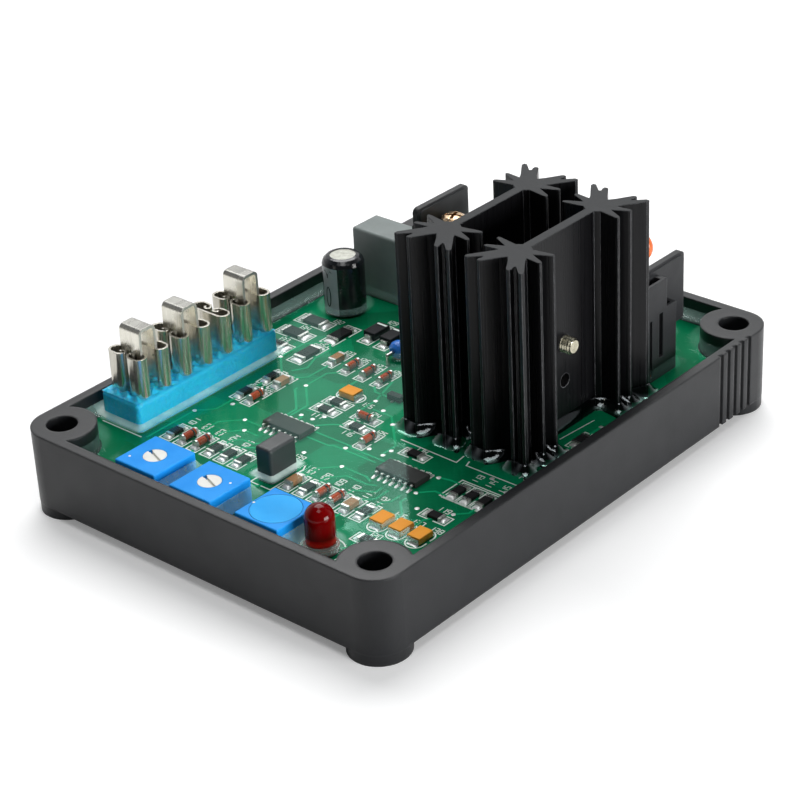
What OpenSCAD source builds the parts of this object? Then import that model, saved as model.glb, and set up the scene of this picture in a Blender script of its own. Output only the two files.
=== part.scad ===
// Automatic voltage regulator: a shallow potted tray with a circuit board,
// two star-finned heat sinks, plug-in jumpers, trimmers and a barrier terminal strip.
// Millimetres, +Z up. X runs across the tray, Y along it, and the feet stand on z = 0.

/* [Tray] */
// outer width of the tray, across its short side
case_w = 82; // [72:0.5:95]
// outer length of the tray
case_l = 108; // [98:0.5:125]
// height of the rim above the feet
case_h = 16; // [14:0.1:22]
// how far the corner posts stand below the walls
foot_h = 2; // [1:0.1:4]
// wall thickness at the rim
wall_t = 1.85; // [1.2:0.05:3]
// floor thickness
floor_t = 2; // [1.2:0.1:3]
// radius of the outer corners, also the inset of the mounting holes
corner_r = 5.4; // [4.8:0.1:6.5]
// diameter of the mounting holes
hole_d = 5.5; // [4.2:0.1:6]
// radius of the corner posts inside the tray
post_r = 6; // [5.4:0.1:7]
// radius of the feet
foot_r = 5.35; // [4:0.05:5.35]
// width of the ledge that carries the board
ledge_w = 1.2; // [0.8:0.1:2]
// number of grooves beside one corner
groove_n = 5; // [0:1:8]
// distance from groove to groove
groove_pitch = 2.14; // [1.6:0.02:3]
// width of one groove
groove_w = 0.95; // [0.6:0.05:1.4]
// depth of one groove
groove_d = 0.55; // [0.2:0.05:0.9]

/* [Board] */
// height of the board's top face above the feet
board_z = 11.2; // [9:0.1:14]
// board thickness
board_t = 1.6; // [1:0.1:2.4]
// gap between board edge and tray wall
board_gap = 0.3; // [0.1:0.05:0.6]
// how far the soldered leads stand out below the board
lead_tail = 1.5; // [0.5:0.1:2.5]

/* [Heat sinks] */
// height of the extrusion
sink_h = 37.8; // [25:0.1:50]
// width across the fin tips
sink_w = 11.6; // [10:0.1:16]
// length over the two stars
sink_l = 34.2; // [28:0.1:42]
// distance between the two star centres
star_gap = 21; // [16:0.1:26]
// thickness of the web between the stars
web_t = 1.7; // [1.2:0.1:2.5]
// place of the inner sink across the tray
sink_x = 13.9; // [5:0.1:20]
// distance from the inner to the outer sink
sink_pitch = 14.85; // [13:0.05:20]
// middle of the sinks along the tray
sink_y = 7; // [0:0.1:12]
// height of the device screw above the board
screw_up = 16.7; // [12:0.1:24]

/* [Jumpers] */
// number of receptacles in the block
recept_n = 7; // [3:1:10]
// distance from receptacle to receptacle
recept_pitch = 5.08; // [4:0.01:7.62]
// height of a receptacle above the block
recept_h = 7.5; // [5:0.1:10]
// half the depth of a rolled edge
roll_r = 1.45; // [1.2:0.05:1.6]
// half the width of a rolled edge
roll_w = 1.95; // [1.7:0.05:2.1]
// sheet thickness of the receptacles
recept_t = 0.4; // [0.3:0.05:0.6]
// block width across the tray
block_w = 9.3; // [8:0.1:14]
// block length along the tray
block_l = 34.8; // [20:0.1:55]
// block height above the board
block_h = 5.6; // [4:0.1:9]
// width of a jumper clip
clip_w = 4.9; // [4:0.1:6.3]
// sheet thickness of a jumper clip
clip_t = 0.5; // [0.3:0.05:0.8]

/* [Terminal strip] */
// number of poles
pole_n = 5; // [2:1:6]
// distance from pole to pole
pole_pitch = 9.86; // [8:0.02:11]
// thickness of a barrier
barrier_t = 1.8; // [1.2:0.1:2.5]
// height of the barriers above the board
barrier_h = 20.1; // [14:0.1:24]
// depth of the barriers, from the board side to the wire side
barrier_d = 14.6; // [11:0.1:18]
// height of the terminal step above the board
step_h = 13.2; // [9:0.1:16]

/* [Trimmers] */
// side of the square housing
trim_side = 9.5; // [6:0.1:10]
// height of the housing
trim_h = 4.85; // [4:0.05:7]
// radius of the slotted rotor
rotor_r = 2; // [1.2:0.05:2.4]
// running gap around a rotor
rotor_gap = 0.05; // [0.02:0.01:0.1]

/* [Hidden] */
$fn = 48;
hole_x = case_w / 2 - corner_r;
hole_y = case_l / 2 - corner_r;
board_under = board_z - board_t;
in_w = case_w - 2 * wall_t;
in_l = case_l - 2 * wall_t;
seat = 0.2;
tail_z = board_under - lead_tail;
screw_z = board_z + screw_up;
spare_hole_z = screw_z - 7;
sinks = [sink_x, sink_x + sink_pitch];
block_x = -33.25;
block_y = -20;
block_top = board_z + block_h;
roll_x = block_w / 2 - roll_w - 0.45;
recept_y0 = -34.3;
clip_first = [0, 2, 5];
clip_top = block_top + recept_h + 4.6;
strip_x0 = -20.8;
strip_y0 = 27.6;
strip_base_d = 8.8;
step_z = board_z + step_h;
clamp_z = step_z + 2.4;
strip_screw_r = 1.75;
pole_y = strip_y0 + 5.2;
trimmers = [[-14.86, -46.6], [-1.67, -47], [12.94, -46.7]];
trim_pins = [[-2.54, 0], [0, 2.54], [2.54, 0]];
rotor_head = 1.5;
rotor_l = 3.5;
shaft_r = 1;
lamp = [21.6, -45.8];
can = [-31.2, 18.5];
can_r = 4;
can_top = board_z + 11.7;
box_cap = [-28.5, 28.9];
box_size = [13, 7, 13.4];
small_cap = [0.15, -33.25];
small_size = [3.5, 6.3, 6.4];
ics = [[-9, -20.9], [17.3, -21.2]];
ic_size = [8.65, 3.9, 1];
ic_pin = 1.27;
axial = [-10.4, 12.9];
axial_l = 9.2;
axial_r = 1.7;
bead = [31, 26.1];
bead_r = 2.6;
bead_lead = 1.25;
bead_z = board_z + 27.6;
tab_t = 1.3;
dev_w = 10;
dev_body_h = 9.2;
hole_above_body = 12.9;
tantalums = concat([[-8, -5.9, 0]], [for (i = [0:2]) [24.1 + 4 * i, -34.1, 90]]);
row_y = -33.4;
row_a = [for (i = [0:5]) [-24 + 3.25 * i, row_y, 90]];
row_b = [for (i = [0:5]) [4.1 + 3.14 * i, row_y, 90]];
chip_1206 = [3.2, 1.6, 0.6];
chip_2010 = [5, 2.5, 0.65];
small_chips = concat(
    [row_a[0], row_a[3], row_a[4], row_a[5], row_b[1], row_b[5]],
    [for (i = [0:2]) [27.9 + 2.75 * i, -19.5, 90]],
    [for (i = [0:1]) [-24.2, -16 + 6.9 * i, 90]],
    [for (i = [0:1]) [-8.2, -12.3 + 3.1 * i, 0]],
    [[0.3, -13.7, 0], [14.4, -14.7, 0], [29.8, -27.6, 0], [25.8, -39.6, 0], [33.9, 5.6, 90]]);
large_chips = concat(
    [for (i = [0:2]) [-32.5, 0.2 + 5.55 * i, 0]],
    [for (i = [0:1]) [-25, 1.2 + 8.9 * i, 90]]);
chip_caps = [row_b[0], row_b[4], [-21.2, -9.6, 90], [-19, 2.6, 90]];
glass = concat(
    [row_a[1], row_a[2], row_b[2], row_b[3], [-21.2, -16.4, 90], [-0.3, -10.5, 0], [4.9, -16, 90]],
    [for (i = [0:2]) [-14.9 + 3.95 * i, 2, 90]]);
glass_r = 0.7;
moulded = [for (i = [0:1]) [-19.7 + 3.9 * i, 14.3, 90]];
sot = [-0.8, -2.2, 0];

// Straight round leads as [x, y, radius, top]: each one passes through the board.
leads = concat(
    [for (s = [-1, 1]) [can[0] + s * 1.75, can[1], 0.3, board_z + 0.3]],
    [for (s = [-1, 1]) [box_cap[0] + s * 5, box_cap[1], 0.4, board_z + seat]],
    [for (s = [-1, 1]) [small_cap[0], small_cap[1] + s * 2.5, 0.3, board_z + seat]],
    [for (s = [-1, 1]) [lamp[0] + s * 1.27, lamp[1], 0.3, board_z + seat]],
    [for (s = [-1, 1]) [bead[0] + s * bead_lead, bead[1], 0.3, bead_z - 1]],
    [for (t = trimmers, p = trim_pins) [t[0] + p[0], t[1] + p[1], 0.3, board_z + seat]],
    [for (i = [0:pole_n - 1]) [pole_x(i), pole_y, 0.6, board_z]]);
sink_pins = [for (x = sinks, s = [-1, 1]) [x, sink_y + s * star_gap / 2, 1.2]];
device_legs = [for (x = sinks, s = [-1:1]) [x - web_t / 2 - 2.4, sink_y + s * 2.54]];
axial_ends = [for (s = [-1, 1]) [axial[0], axial[1] + s * (axial_l / 2 + 1.6)]];

function recept_y(i) = recept_y0 + recept_pitch * i;
// 1 for a receptacle that no clip starts at: it stands the other way round.
function recept_turned(i) = len([for (f = clip_first) if (f == i) f]) == 0 ? 1 : 0;
function pole_x(i) = strip_x0 + pole_pitch * (i + 0.5);
// Points of an arc about c, from angle a to angle b.
function arc(c, r, a, b) = [for (i = [0:8], d = [a + (b - a) * i / 8]) c + r * [cos(d), sin(d)]];
// Two points of a thread's zigzag for turn i of a screw of radius r.
function thread_turn(r, pitch, i) = [[r, (i + 0.25) * pitch], [r - 0.5 * pitch, (i + 0.75) * pitch]];

// A block on the plane z = 0 with upright round corners.
module rounded_block(w, l, h, r) {
    translate([-w / 2 + r, -l / 2, 0]) cube([w - 2 * r, l, h]);
    translate([-w / 2, -l / 2 + r, 0]) cube([w, l - 2 * r, h]);
    for (x = [-1, 1], y = [-1, 1])
        translate([x * (w / 2 - r), y * (l / 2 - r), 0]) cylinder(r = r, h = h);
}

// The same block with its top edges rounded as well.
module soft_block(w, l, h, r) {
    rounded_block(w, l, h - r, r);
    translate([-w / 2 + r, -l / 2 + r, 0]) cube([w - 2 * r, l - 2 * r, h]);
    for (x = [-1, 1], y = [-1, 1]) translate([x * (w / 2 - r), y * (l / 2 - r), h - r]) sphere(r = r);
    for (x = [-1, 1]) translate([x * (w / 2 - r), 0, h - r])
        rotate([90, 0, 0]) cylinder(r = r, h = l - 2 * r, center = true);
    for (y = [-1, 1]) translate([0, y * (l / 2 - r), h - r])
        rotate([0, 90, 0]) cylinder(r = r, h = w - 2 * r, center = true);
}

module at_holes() {
    for (x = [-hole_x, hole_x], y = [-hole_y, hole_y]) translate([x, y, 0]) children();
}

// All the drilled places of the board, as upright cylinders widened by gap.
module lead_places(gap, z0, z1) {
    for (p = leads) translate([p[0], p[1], z0]) cylinder(r = p[2] + gap, h = z1 - z0);
    for (p = sink_pins) translate([p[0], p[1], z0]) cylinder(r = p[2] + gap, h = z1 - z0);
    for (p = device_legs) translate([p[0], p[1], z0]) cylinder(r = 0.5 + gap, h = z1 - z0);
    for (p = axial_ends) translate([p[0], p[1], z0]) cylinder(r = 0.35 + gap, h = z1 - z0);
    for (i = [0:recept_n - 1])
        translate([block_x, recept_y(i), z0]) cylinder(r = 0.5 + gap, h = z1 - z0);
}

// Open tray: walls, floor, board ledge, tubular corner posts that run on as feet.
module case_tray() {
    color("#3d3e41") difference() {
        union() {
            translate([0, 0, foot_h]) rounded_block(case_w, case_l, case_h - foot_h, corner_r);
            at_holes() cylinder(r = foot_r, h = foot_h + 1);
        }
        difference() {
            union() {
                translate([0, 0, board_under]) rounded_block(in_w, in_l, case_h, corner_r - wall_t);
                translate([0, 0, foot_h + floor_t])
                    rounded_block(in_w - 2 * ledge_w, in_l - 2 * ledge_w, case_h, 2);
            }
            at_holes() cylinder(r = post_r, h = 3 * case_h);
        }
        at_holes() translate([0, 0, -1]) cylinder(d = hole_d, h = case_h + 2);
        for (i = [0:groove_n - 1])
            translate([case_w / 2 - groove_d, 36.65 + i * groove_pitch, foot_h - 1])
                cube([2, groove_w, case_h]);
    }
}

// Resin between the floor and the board, cast around the lead tails.
module potting_resin() {
    color("#b9c4ba") difference() {
        translate([0, 0, foot_h + floor_t])
            rounded_block(in_w - 2 * ledge_w, in_l - 2 * ledge_w, board_under - foot_h - floor_t, 2);
        at_holes() cylinder(r = post_r, h = case_h);
        lead_places(0, tail_z, board_z);
    }
}

// Board with round corner cut-outs for the posts and one hole for every lead.
module circuit_board() {
    color("#0d6b48") difference() {
        translate([0, 0, board_under])
            rounded_block(in_w - 2 * board_gap, in_l - 2 * board_gap, board_t, corner_r - wall_t - board_gap);
        at_holes() cylinder(r = post_r + board_gap, h = case_h);
        lead_places(0.1, board_under - 1, board_z + 1);
    }
}

// One tapered fin of the extrusion, pointing along its angle.
module fin(angle, reach, root, tip) {
    rotate(angle) polygon([[0, -root / 2], [reach - tip / 2, -tip / 2], [reach, -tip / 4],
        [reach, tip / 4], [reach - tip / 2, tip / 2], [0, root / 2]]);
}

// One star: straight side fins, and on the outer side two thick arms that fork like a maple leaf.
module star() {
    half = sink_w / 2;
    out = (sink_l - star_gap) / 2;
    circle(r = 2.3);
    for (s = [0, 1]) mirror([s, 0]) {
        fin(atan2(1.9, half), norm([half, 1.9]), 2.4, 0.75);
        fin(atan2(-1.6, half), norm([half, 1.6]), 2.4, 0.75);
        fin(-56, 6, 3.6, 2.6);
        fin(atan2(-out, half), norm([half, out]), 2.6, 0.9);
        fin(atan2(-out, half * 0.54), norm([half * 0.54, out]), 2.6, 0.95);
        fin(-68, 4.5, 2.2, 0.8);
    }
}

module sink_profile() {
    intersection() {
        square([sink_w, sink_l], center = true);
        union() {
            square([web_t, star_gap], center = true);
            for (s = [0, 1]) mirror([0, s]) translate([0, -star_gap / 2]) star();
        }
    }
}

// Extruded heat sink, standing on the board, its web drilled for the device screw.
module heat_sink(x) {
    color("#232427") difference() {
        translate([x, sink_y, board_z]) linear_extrude(sink_h) sink_profile();
        translate([x, sink_y, screw_z]) rotate([0, 90, 0]) cylinder(r = 1.55, h = 6, center = true);
        translate([x, sink_y, spare_hole_z]) rotate([0, 90, 0]) cylinder(r = 1.25, h = 6, center = true);
    }
}

module heat_sink_inner() heat_sink(sinks[0]);

module heat_sink_outer() heat_sink(sinks[1]);

// Solder pins under the stars.
module heat_sink_pins() {
    color("#c9c9c4") for (p = sink_pins)
        translate([p[0], p[1], tail_z]) cylinder(r = p[2], h = board_z - tail_z);
}

// Moulded bodies of the power devices, on the face of each web that looks to -X.
module power_device_bodies() {
    z0 = screw_z - hole_above_body;
    color("#202022") for (x = sinks)
        translate([x - web_t / 2 - tab_t, sink_y + dev_w / 2, z0]) rotate([90, 0, 0])
            linear_extrude(dev_w)
                polygon([[0, 0], [-2.6, 0], [-3.1, 0.6], [-3.1, dev_body_h - 0.9],
                    [-2.7, dev_body_h], [0, dev_body_h]]);
}

// Metal tabs with their screw hole, and three legs each.
module power_device_tabs() {
    z0 = screw_z - hole_above_body;
    color("#b7b7b4") {
        for (x = sinks) difference() {
            translate([x - web_t / 2 - tab_t, sink_y - dev_w / 2, z0]) cube([tab_t, dev_w, 15.7]);
            translate([x, sink_y, screw_z]) rotate([0, 90, 0]) cylinder(r = 1.8, h = 12, center = true);
        }
        for (p = device_legs) translate([p[0] - 0.25, p[1] - 0.4, tail_z]) cube([0.5, 0.8, z0 - tail_z]);
    }
}

// Pan-head screws through tab and web, with the threaded end standing out on the far side.
module device_screws() {
    grip = tab_t + web_t;
    pitch = 0.5;
    turns = 4;
    color("#c8c6b4") for (x = sinks)
        translate([x - web_t / 2 - tab_t, sink_y, screw_z]) rotate([0, 90, 0]) {
            difference() {
                rotate_extrude()
                    polygon([[0, -2.2], [1.6, -2.2], [2.4, -1.7], [2.75, -0.9], [2.75, 0], [0, 0]]);
                for (a = [0, 90]) rotate(a) translate([-1.6, -0.3, -3]) cube([3.2, 0.6, 1.8]);
            }
            cylinder(r = 1.5, h = grip);
            translate([0, 0, grip]) rotate_extrude()
                polygon(concat([[0, 0], [1.5, 0]], [for (i = [0:turns - 1]) each thread_turn(1.5, pitch, i)],
                    [[1.15, turns * pitch + 0.1], [0, turns * pitch + 0.1]]));
        }
}

// Moulded block that holds the receptacles.
module jumper_block() {
    color("#1f9dc4") difference() {
        translate([block_x, block_y, board_z]) soft_block(block_w, block_l, block_h, 0.8);
        for (i = [0:recept_n - 1])
            translate([block_x, recept_y(i), board_z - 1]) cylinder(r = 0.55, h = block_h + 2);
    }
}

// Oval of a rolled edge, drawn in by inset.
module roll_oval(inset) {
    for (s = [-1, 1]) translate([s * (roll_w - roll_r), 0]) circle(r = roll_r - inset);
    translate([roll_r - roll_w, inset - roll_r]) square([2 * (roll_w - roll_r), 2 * (roll_r - inset)]);
}

// Section of a receptacle: a flat back whose two edges are rolled round towards it, the lips curled inwards.
module recept_profile() {
    lip_r = (roll_r + recept_t) * 0.4;
    lip_y = roll_r - recept_t - clip_t - 0.06 - lip_r;
    translate([-roll_x, roll_r - recept_t]) square([2 * roll_x, recept_t]);
    for (s = [0, 1]) mirror([s, 0]) translate([roll_x, 0]) {
        difference() {
            roll_oval(0);
            roll_oval(recept_t);
            translate([-roll_w - 1, lip_y]) square([roll_w + 1.6, roll_r - recept_t - lip_y]);
        }
        translate([lip_r - roll_w, lip_y]) difference() {
            circle(r = lip_r);
            circle(r = lip_r - recept_t);
            translate([-2, -2.1]) square([4, 2]);
        }
    }
}

module receptacle() {
    difference() {
        linear_extrude(recept_h) recept_profile();
        translate([0, roll_r - recept_t - 0.2, recept_h * 0.55]) rotate([-90, 0, 0]) cylinder(r = 0.55, h = 5);
    }
    translate([-0.6, -0.3, 0]) cube([1.2, roll_r, 0.6]);
}

// Row of receptacles: the two of a pair stand back to back, as the legs of a clip need.
module receptacles() {
    color("#c3bfae") for (i = [0:recept_n - 1]) translate([block_x, recept_y(i), 0]) {
        translate([0, 0, block_top]) mirror([0, recept_turned(i), 0]) receptacle();
        translate([0, 0, tail_z]) cylinder(r = 0.5, h = block_top - tail_z);
    }
}

// U-shaped clip of strip: round shoulders, and legs that spread to the backs of the two receptacles it joins.
module jumper_clip(first) {
    t = clip_t / 2;
    y = (recept_y(first) + recept_y(first + 1)) / 2;
    half = 1.65 + t;
    bend = 1;
    blade = recept_pitch / 2 - (roll_r - recept_t - t);
    foot = block_top + 2;
    low = block_top + recept_h + 0.1;
    shoulder = [half - bend, clip_top - bend];
    leg = concat(arc(shoulder, bend, 90, 0),
        [[blade + t, low], [blade + t, foot], [blade - t, foot], [blade - t, low]],
        arc(shoulder, bend - clip_t, 0, 90));
    other_leg = [for (i = [len(leg) - 1:-1:0]) [-leg[i][0], leg[i][1]]];
    color("#d6d4cb") translate([block_x - clip_w / 2 + 0.2, y, 0])
        rotate([90, 0, 90]) linear_extrude(clip_w) polygon(concat(leg, other_leg));
}

module jumper_clip_front() jumper_clip(clip_first[0]);

module jumper_clip_middle() jumper_clip(clip_first[1]);

module jumper_clip_rear() jumper_clip(clip_first[2]);

// Square trimmer housing on four small feet.
module trimmer_box() {
    h = trim_side / 2;
    translate([0, 0, seat]) soft_block(trim_side, trim_side, trim_h - seat, 0.25);
    for (x = [-1, 1], y = [-1, 1]) translate([x * (h - 0.9), y * (h - 0.9), 0]) cylinder(r = 0.6, h = 1);
}

// Housing with the stepped bore of a slotted rotor.
module trimmer_body(place) {
    color("#1f86ee") translate([place[0], place[1], board_z]) difference() {
        trimmer_box();
        translate([0, 0, trim_h - rotor_head - rotor_gap]) cylinder(r = rotor_r + rotor_gap, h = 3);
        translate([0, 0, trim_h - rotor_l - rotor_gap]) cylinder(r = shaft_r + rotor_gap, h = 3);
    }
}

// Rotor: a flush disc with a screwdriver slot and a pointer notch, on a short shaft.
module trimmer_rotor(place, turn) {
    color("#eeece6") translate([place[0], place[1], board_z]) rotate(turn) difference() {
        union() {
            translate([0, 0, trim_h - rotor_head]) cylinder(r = rotor_r, h = rotor_head);
            translate([0, 0, trim_h - rotor_l]) cylinder(r = shaft_r, h = rotor_l - 0.5);
        }
        translate([-3, -0.22, trim_h - 0.5]) cube([6, 0.44, 1]);
        translate([-rotor_r - 0.2, -0.35, trim_h - 0.9]) cube([0.75, 0.7, 1]);
    }
}

module trimmer_left_body() trimmer_body(trimmers[0]);

module trimmer_middle_body() trimmer_body(trimmers[1]);

// Third housing: a shallow round recess takes a cover.
module trimmer_right_body() {
    color("#1f86ee") translate([trimmers[2][0], trimmers[2][1], board_z]) difference() {
        trimmer_box();
        translate([0, 0, trim_h - 0.5]) cylinder(r = 4.35, h = 1);
    }
}

module trimmer_left_rotor() trimmer_rotor(trimmers[0], -20);

module trimmer_middle_rotor() trimmer_rotor(trimmers[1], -20);

module trimmer_cover() {
    t = 0.5;
    color("#2a97ff") translate([trimmers[2][0], trimmers[2][1], board_z + trim_h - t])
        cylinder(r = 4.28, h = t);
}

// Round indicator lamp: flange, barrel and dome in one casting.
module indicator_lamp() {
    color("#8c0f16") translate([lamp[0], lamp[1], board_z + seat]) {
        cylinder(r = 2.95, h = 1);
        cylinder(r = 2.5, h = 5.8);
        translate([0, 0, 5.8]) sphere(r = 2.5);
    }
}

// Drawn can with rounded ends, closed below by its plug.
module electrolytic_can() {
    z0 = board_z + 0.3;
    r = can_r - 0.15;
    color("#c9cbc8") translate([can[0], can[1], 0]) rotate_extrude()
        polygon([[0, z0], [r - 0.3, z0], [r, z0 + 0.3], [r, can_top - 1.5], [r - 0.3, can_top - 0.85],
            [r - 0.9, can_top - 0.3], [r - 1.4, can_top - 0.15], [0, can_top - 0.15]]);
}

// Shrunk sleeve, turned in over the top edge of the can.
module electrolytic_sleeve() {
    z0 = board_z + 0.3;
    r = can_r - 0.15;
    color("#1b1c20") translate([can[0], can[1], 0]) rotate_extrude()
        polygon([[r, z0 + 0.3], [can_r, z0 + 0.3], [can_r, can_top - 1.4], [can_r - 0.3, can_top - 0.7],
            [can_r - 0.9, can_top - 0.15], [r - 1.4, can_top], [r - 1.4, can_top - 0.15],
            [r - 0.9, can_top - 0.3], [r - 0.3, can_top - 0.85], [r, can_top - 1.5]]);
}

// Box capacitor: a rounded moulded case on four feet.
module box_capacitor(place, size) {
    translate([place[0], place[1], board_z]) {
        translate([0, 0, seat]) soft_block(size[0], size[1], size[2], 0.5);
        for (x = [-1, 1], y = [-1, 1])
            translate([x * (size[0] / 2 - 0.8) - 0.4, y * (size[1] / 2 - 0.8) - 0.4, 0]) cube([0.8, 0.8, 1]);
    }
}

module film_capacitor_large() color("#7f8a86") box_capacitor(box_cap, box_size);

module film_capacitor_small() color("#6f7376") box_capacitor(small_cap, small_size);

// Fourteen-lead IC bodies with the draft line at half height.
module ic_bodies() {
    w = ic_size[1] / 2;
    h = ic_size[2];
    color("#3a3b3d") for (c = ics)
        translate([c[0] - ic_size[0] / 2, c[1], board_z + 0.15])
            rotate([90, 0, 90]) linear_extrude(ic_size[0])
            polygon([[-w + 0.15, 0], [w - 0.15, 0], [w, h / 2 - 0.1], [w, h / 2 + 0.1], [w - 0.15, h],
                [-w + 0.15, h], [-w, h / 2 + 0.1], [-w, h / 2 - 0.1]]);
}

// Gull-wing leads, seven a side.
module ic_leads() {
    w = ic_size[1] / 2;
    mid = 0.15 + ic_size[2] / 2;
    color("#c9cac6") for (c = ics, i = [-3:3], s = [0, 1])
        translate([c[0] + i * ic_pin - 0.2, c[1], board_z]) mirror([0, s, 0])
            rotate([90, 0, 90]) linear_extrude(0.4)
            polygon([[w, mid - 0.1], [w + 0.35, mid - 0.1], [w + 0.5, 0], [w + 1.1, 0], [w + 1.1, 0.2],
                [w + 0.65, 0.2], [w + 0.5, mid + 0.1], [w, mid + 0.1]]);
}

// Places a chip part flat on the board, turned to its direction.
module on_board(p) {
    translate([p[0], p[1], board_z]) rotate(p[2]) children();
}

// A moulded bar along X with the section that its points give, just clear of the board.
module drafted_bar(length, section) {
    translate([-length / 2, 0, 0.1]) rotate([90, 0, 90]) linear_extrude(length) polygon(section);
}

// A pair of metal tabs folded against the two ends of a moulded bar.
module folded_tabs(length, t, w) {
    for (s = [0, 1]) mirror([s, 0, 0]) translate([length / 2, -w / 2, 0]) cube([t, w, 1]);
}

// Moulded chip capacitors with drafted sides.
module tantalum_capacitors() {
    color("#f2a12c") for (p = tantalums) on_board(p)
        drafted_bar(3.3, [[-1.25, 0], [1.25, 0], [1.4, 0.6], [1.3, 1.2], [-1.3, 1.2], [-1.4, 0.6]]);
}

// The part of a chip between its metal ends.
module chip_middle(size, end) {
    translate([-size[0] / 2 + end, -size[1] / 2, 0]) cube([size[0] - 2 * end, size[1], size[2]]);
}

// The two metal ends of a chip.
module chip_end_pair(size, end) {
    for (s = [0, 1]) mirror([s, 0, 0])
        translate([size[0] / 2 - end, -size[1] / 2, 0]) cube([end, size[1], size[2]]);
}

module chip_resistors() {
    color("#2f2d2e") {
        for (p = small_chips) on_board(p) chip_middle(chip_1206, 0.5);
        for (p = large_chips) on_board(p) chip_middle(chip_2010, 0.6);
        on_board(sot) translate([-1.45, -0.65, 0.1]) cube([2.9, 1.3, 1]);
    }
}

module chip_capacitors() {
    color("#b98a5e") for (p = chip_caps) on_board(p) chip_middle([3.2, 1.6, 1], 0.5);
}

// Metal ends of all chip parts, and the folded tabs of the moulded ones.
module chip_ends() {
    color("#cfd0cc") {
        for (p = small_chips) on_board(p) chip_end_pair(chip_1206, 0.5);
        for (p = large_chips) on_board(p) chip_end_pair(chip_2010, 0.6);
        for (p = chip_caps) on_board(p) chip_end_pair([3.2, 1.6, 1], 0.5);
        for (p = tantalums) on_board(p) folded_tabs(3.3, 0.15, 2.2);
        for (p = moulded) on_board(p) folded_tabs(4.3, 0.5, 1.4);
        for (p = glass) on_board(p) for (s = [0, 1]) mirror([s, 0, 0])
            translate([1.35, 0, glass_r]) rotate([0, 90, 0]) cylinder(r = glass_r, h = 0.4);
        on_board(sot) for (x = [-0.95, 0.95]) translate([x - 0.2, 0.65, 0]) cube([0.4, 0.6, 0.2]);
        on_board(sot) translate([-0.2, -1.25, 0]) cube([0.4, 0.6, 0.2]);
    }
}

// Small glass-bodied diodes.
module glass_diodes() {
    color("#b5402c") for (p = glass) on_board(p)
        translate([-1.35, 0, glass_r]) rotate([0, 90, 0]) cylinder(r = glass_r - 0.05, h = 2.7);
}

module moulded_diodes() {
    color("#26262a") for (p = moulded) on_board(p)
        drafted_bar(4.3, [[-1.2, 0], [1.2, 0], [1.4, 0.7], [1.3, 1.4], [-1.3, 1.4], [-1.4, 0.7]]);
}

// Bone-shaped coated resistor, lying along the tray.
module axial_resistor() {
    h = axial_l / 2;
    end = [[0.9, 0], [axial_r - 0.25, 0.5], [axial_r, 1.1], [axial_r - 0.05, 1.9], [axial_r - 0.3, 2.6]];
    color("#2f7de0") translate([axial[0], axial[1], board_z + axial_r + seat]) rotate([90, 0, 0])
        rotate_extrude() polygon(concat([[0, -h]], [for (p = end) [p[0], p[1] - h]],
            [for (i = [4:-1:0]) [end[i][0], h - end[i][1]]], [[0, h]]));
}

// Small dipped disc on tall leads.
module dipped_capacitor() {
    color("#e8793a") translate([bead[0], bead[1], bead_z]) difference() {
        rotate([90, 0, 0]) rotate_extrude()
            polygon([[0, -1.25], [bead_r - 0.9, -1.25], [bead_r - 0.3, -0.9], [bead_r, -0.3], [bead_r, 0.3],
                [bead_r - 0.3, 0.9], [bead_r - 0.9, 1.25], [0, 1.25]]);
        for (s = [-1, 1]) translate([s * bead_lead, 0, -bead_r - 1]) cylinder(r = 0.3, h = bead_r);
    }
}

// Side view of a barrier: upright on the base, with the wire side overhanging, drawn in by inset at the top.
module barrier_profile(inset) {
    r = 1;
    top = barrier_h - inset;
    deep = barrier_d - inset;
    under = 6.8;
    translate([inset, 0]) square([strip_base_d - inset, top - r]);
    translate([inset, under + inset]) square([deep - inset, top - r - under - inset]);
    translate([inset + r, under + inset]) square([deep - inset - 2 * r, top - under - inset]);
    for (y = [inset + r, deep - r]) translate([y, top - r]) circle(r = r);
}

// Moulded strip: stepped base, barriers between the poles, and an end cover with its grooves.
module terminal_strip() {
    x0 = strip_x0 - barrier_t / 2;
    x1 = strip_x0 + pole_pitch * pole_n + barrier_t / 2;
    end_x = x1 + 2.2;
    cover_d = 6;
    color("#3a3b3f") difference() {
        union() {
            translate([x0, strip_y0, board_z]) cube([end_x - x0, strip_base_d, step_h]);
            translate([x0, strip_y0, board_z + 1]) cube([x1 - x0, 1, step_h + 2.4]);
            for (i = [0:pole_n])
                translate([strip_x0 + pole_pitch * i, strip_y0, board_z]) rotate([90, 0, 90]) {
                    linear_extrude(barrier_t, center = true) barrier_profile(0.45);
                    linear_extrude(barrier_t - 0.6, center = true) barrier_profile(0);
                }
            translate([x1 - 0.2, strip_y0, board_z + 1]) cube([end_x - x1 + 0.2, cover_d, step_h + 4.6]);
        }
        for (i = [0:pole_n - 1])
            translate([pole_x(i), pole_y, step_z - 8]) cylinder(r = strip_screw_r + 0.1, h = 9);
        translate([end_x - 0.8, strip_y0 + 3.7, board_z + 4]) cube([2, 1.2, step_h - 4.6]);
        translate([end_x - 0.6, strip_y0 + 1, board_z + 0.9]) cube([2, 0.7, step_h - 2]);
        translate([x1 + 0.2, strip_y0 + 0.7, step_z]) cube([1.4, 4.2, 6]);
        translate([x1 + 0.5, strip_y0 + 6.6, step_z - 1.6]) cube([1.1, 1.4, 3]);
    }
}

// Flat contact plates on the step.
module terminal_plates() {
    color("#c9b98a") for (i = [0:pole_n - 1]) difference() {
        translate([pole_x(i) - 3.8, strip_y0 + 1, step_z]) cube([7.6, strip_base_d - 1, 0.8]);
        translate([pole_x(i), pole_y, step_z - 1]) cylinder(r = strip_screw_r, h = 3);
    }
}

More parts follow.
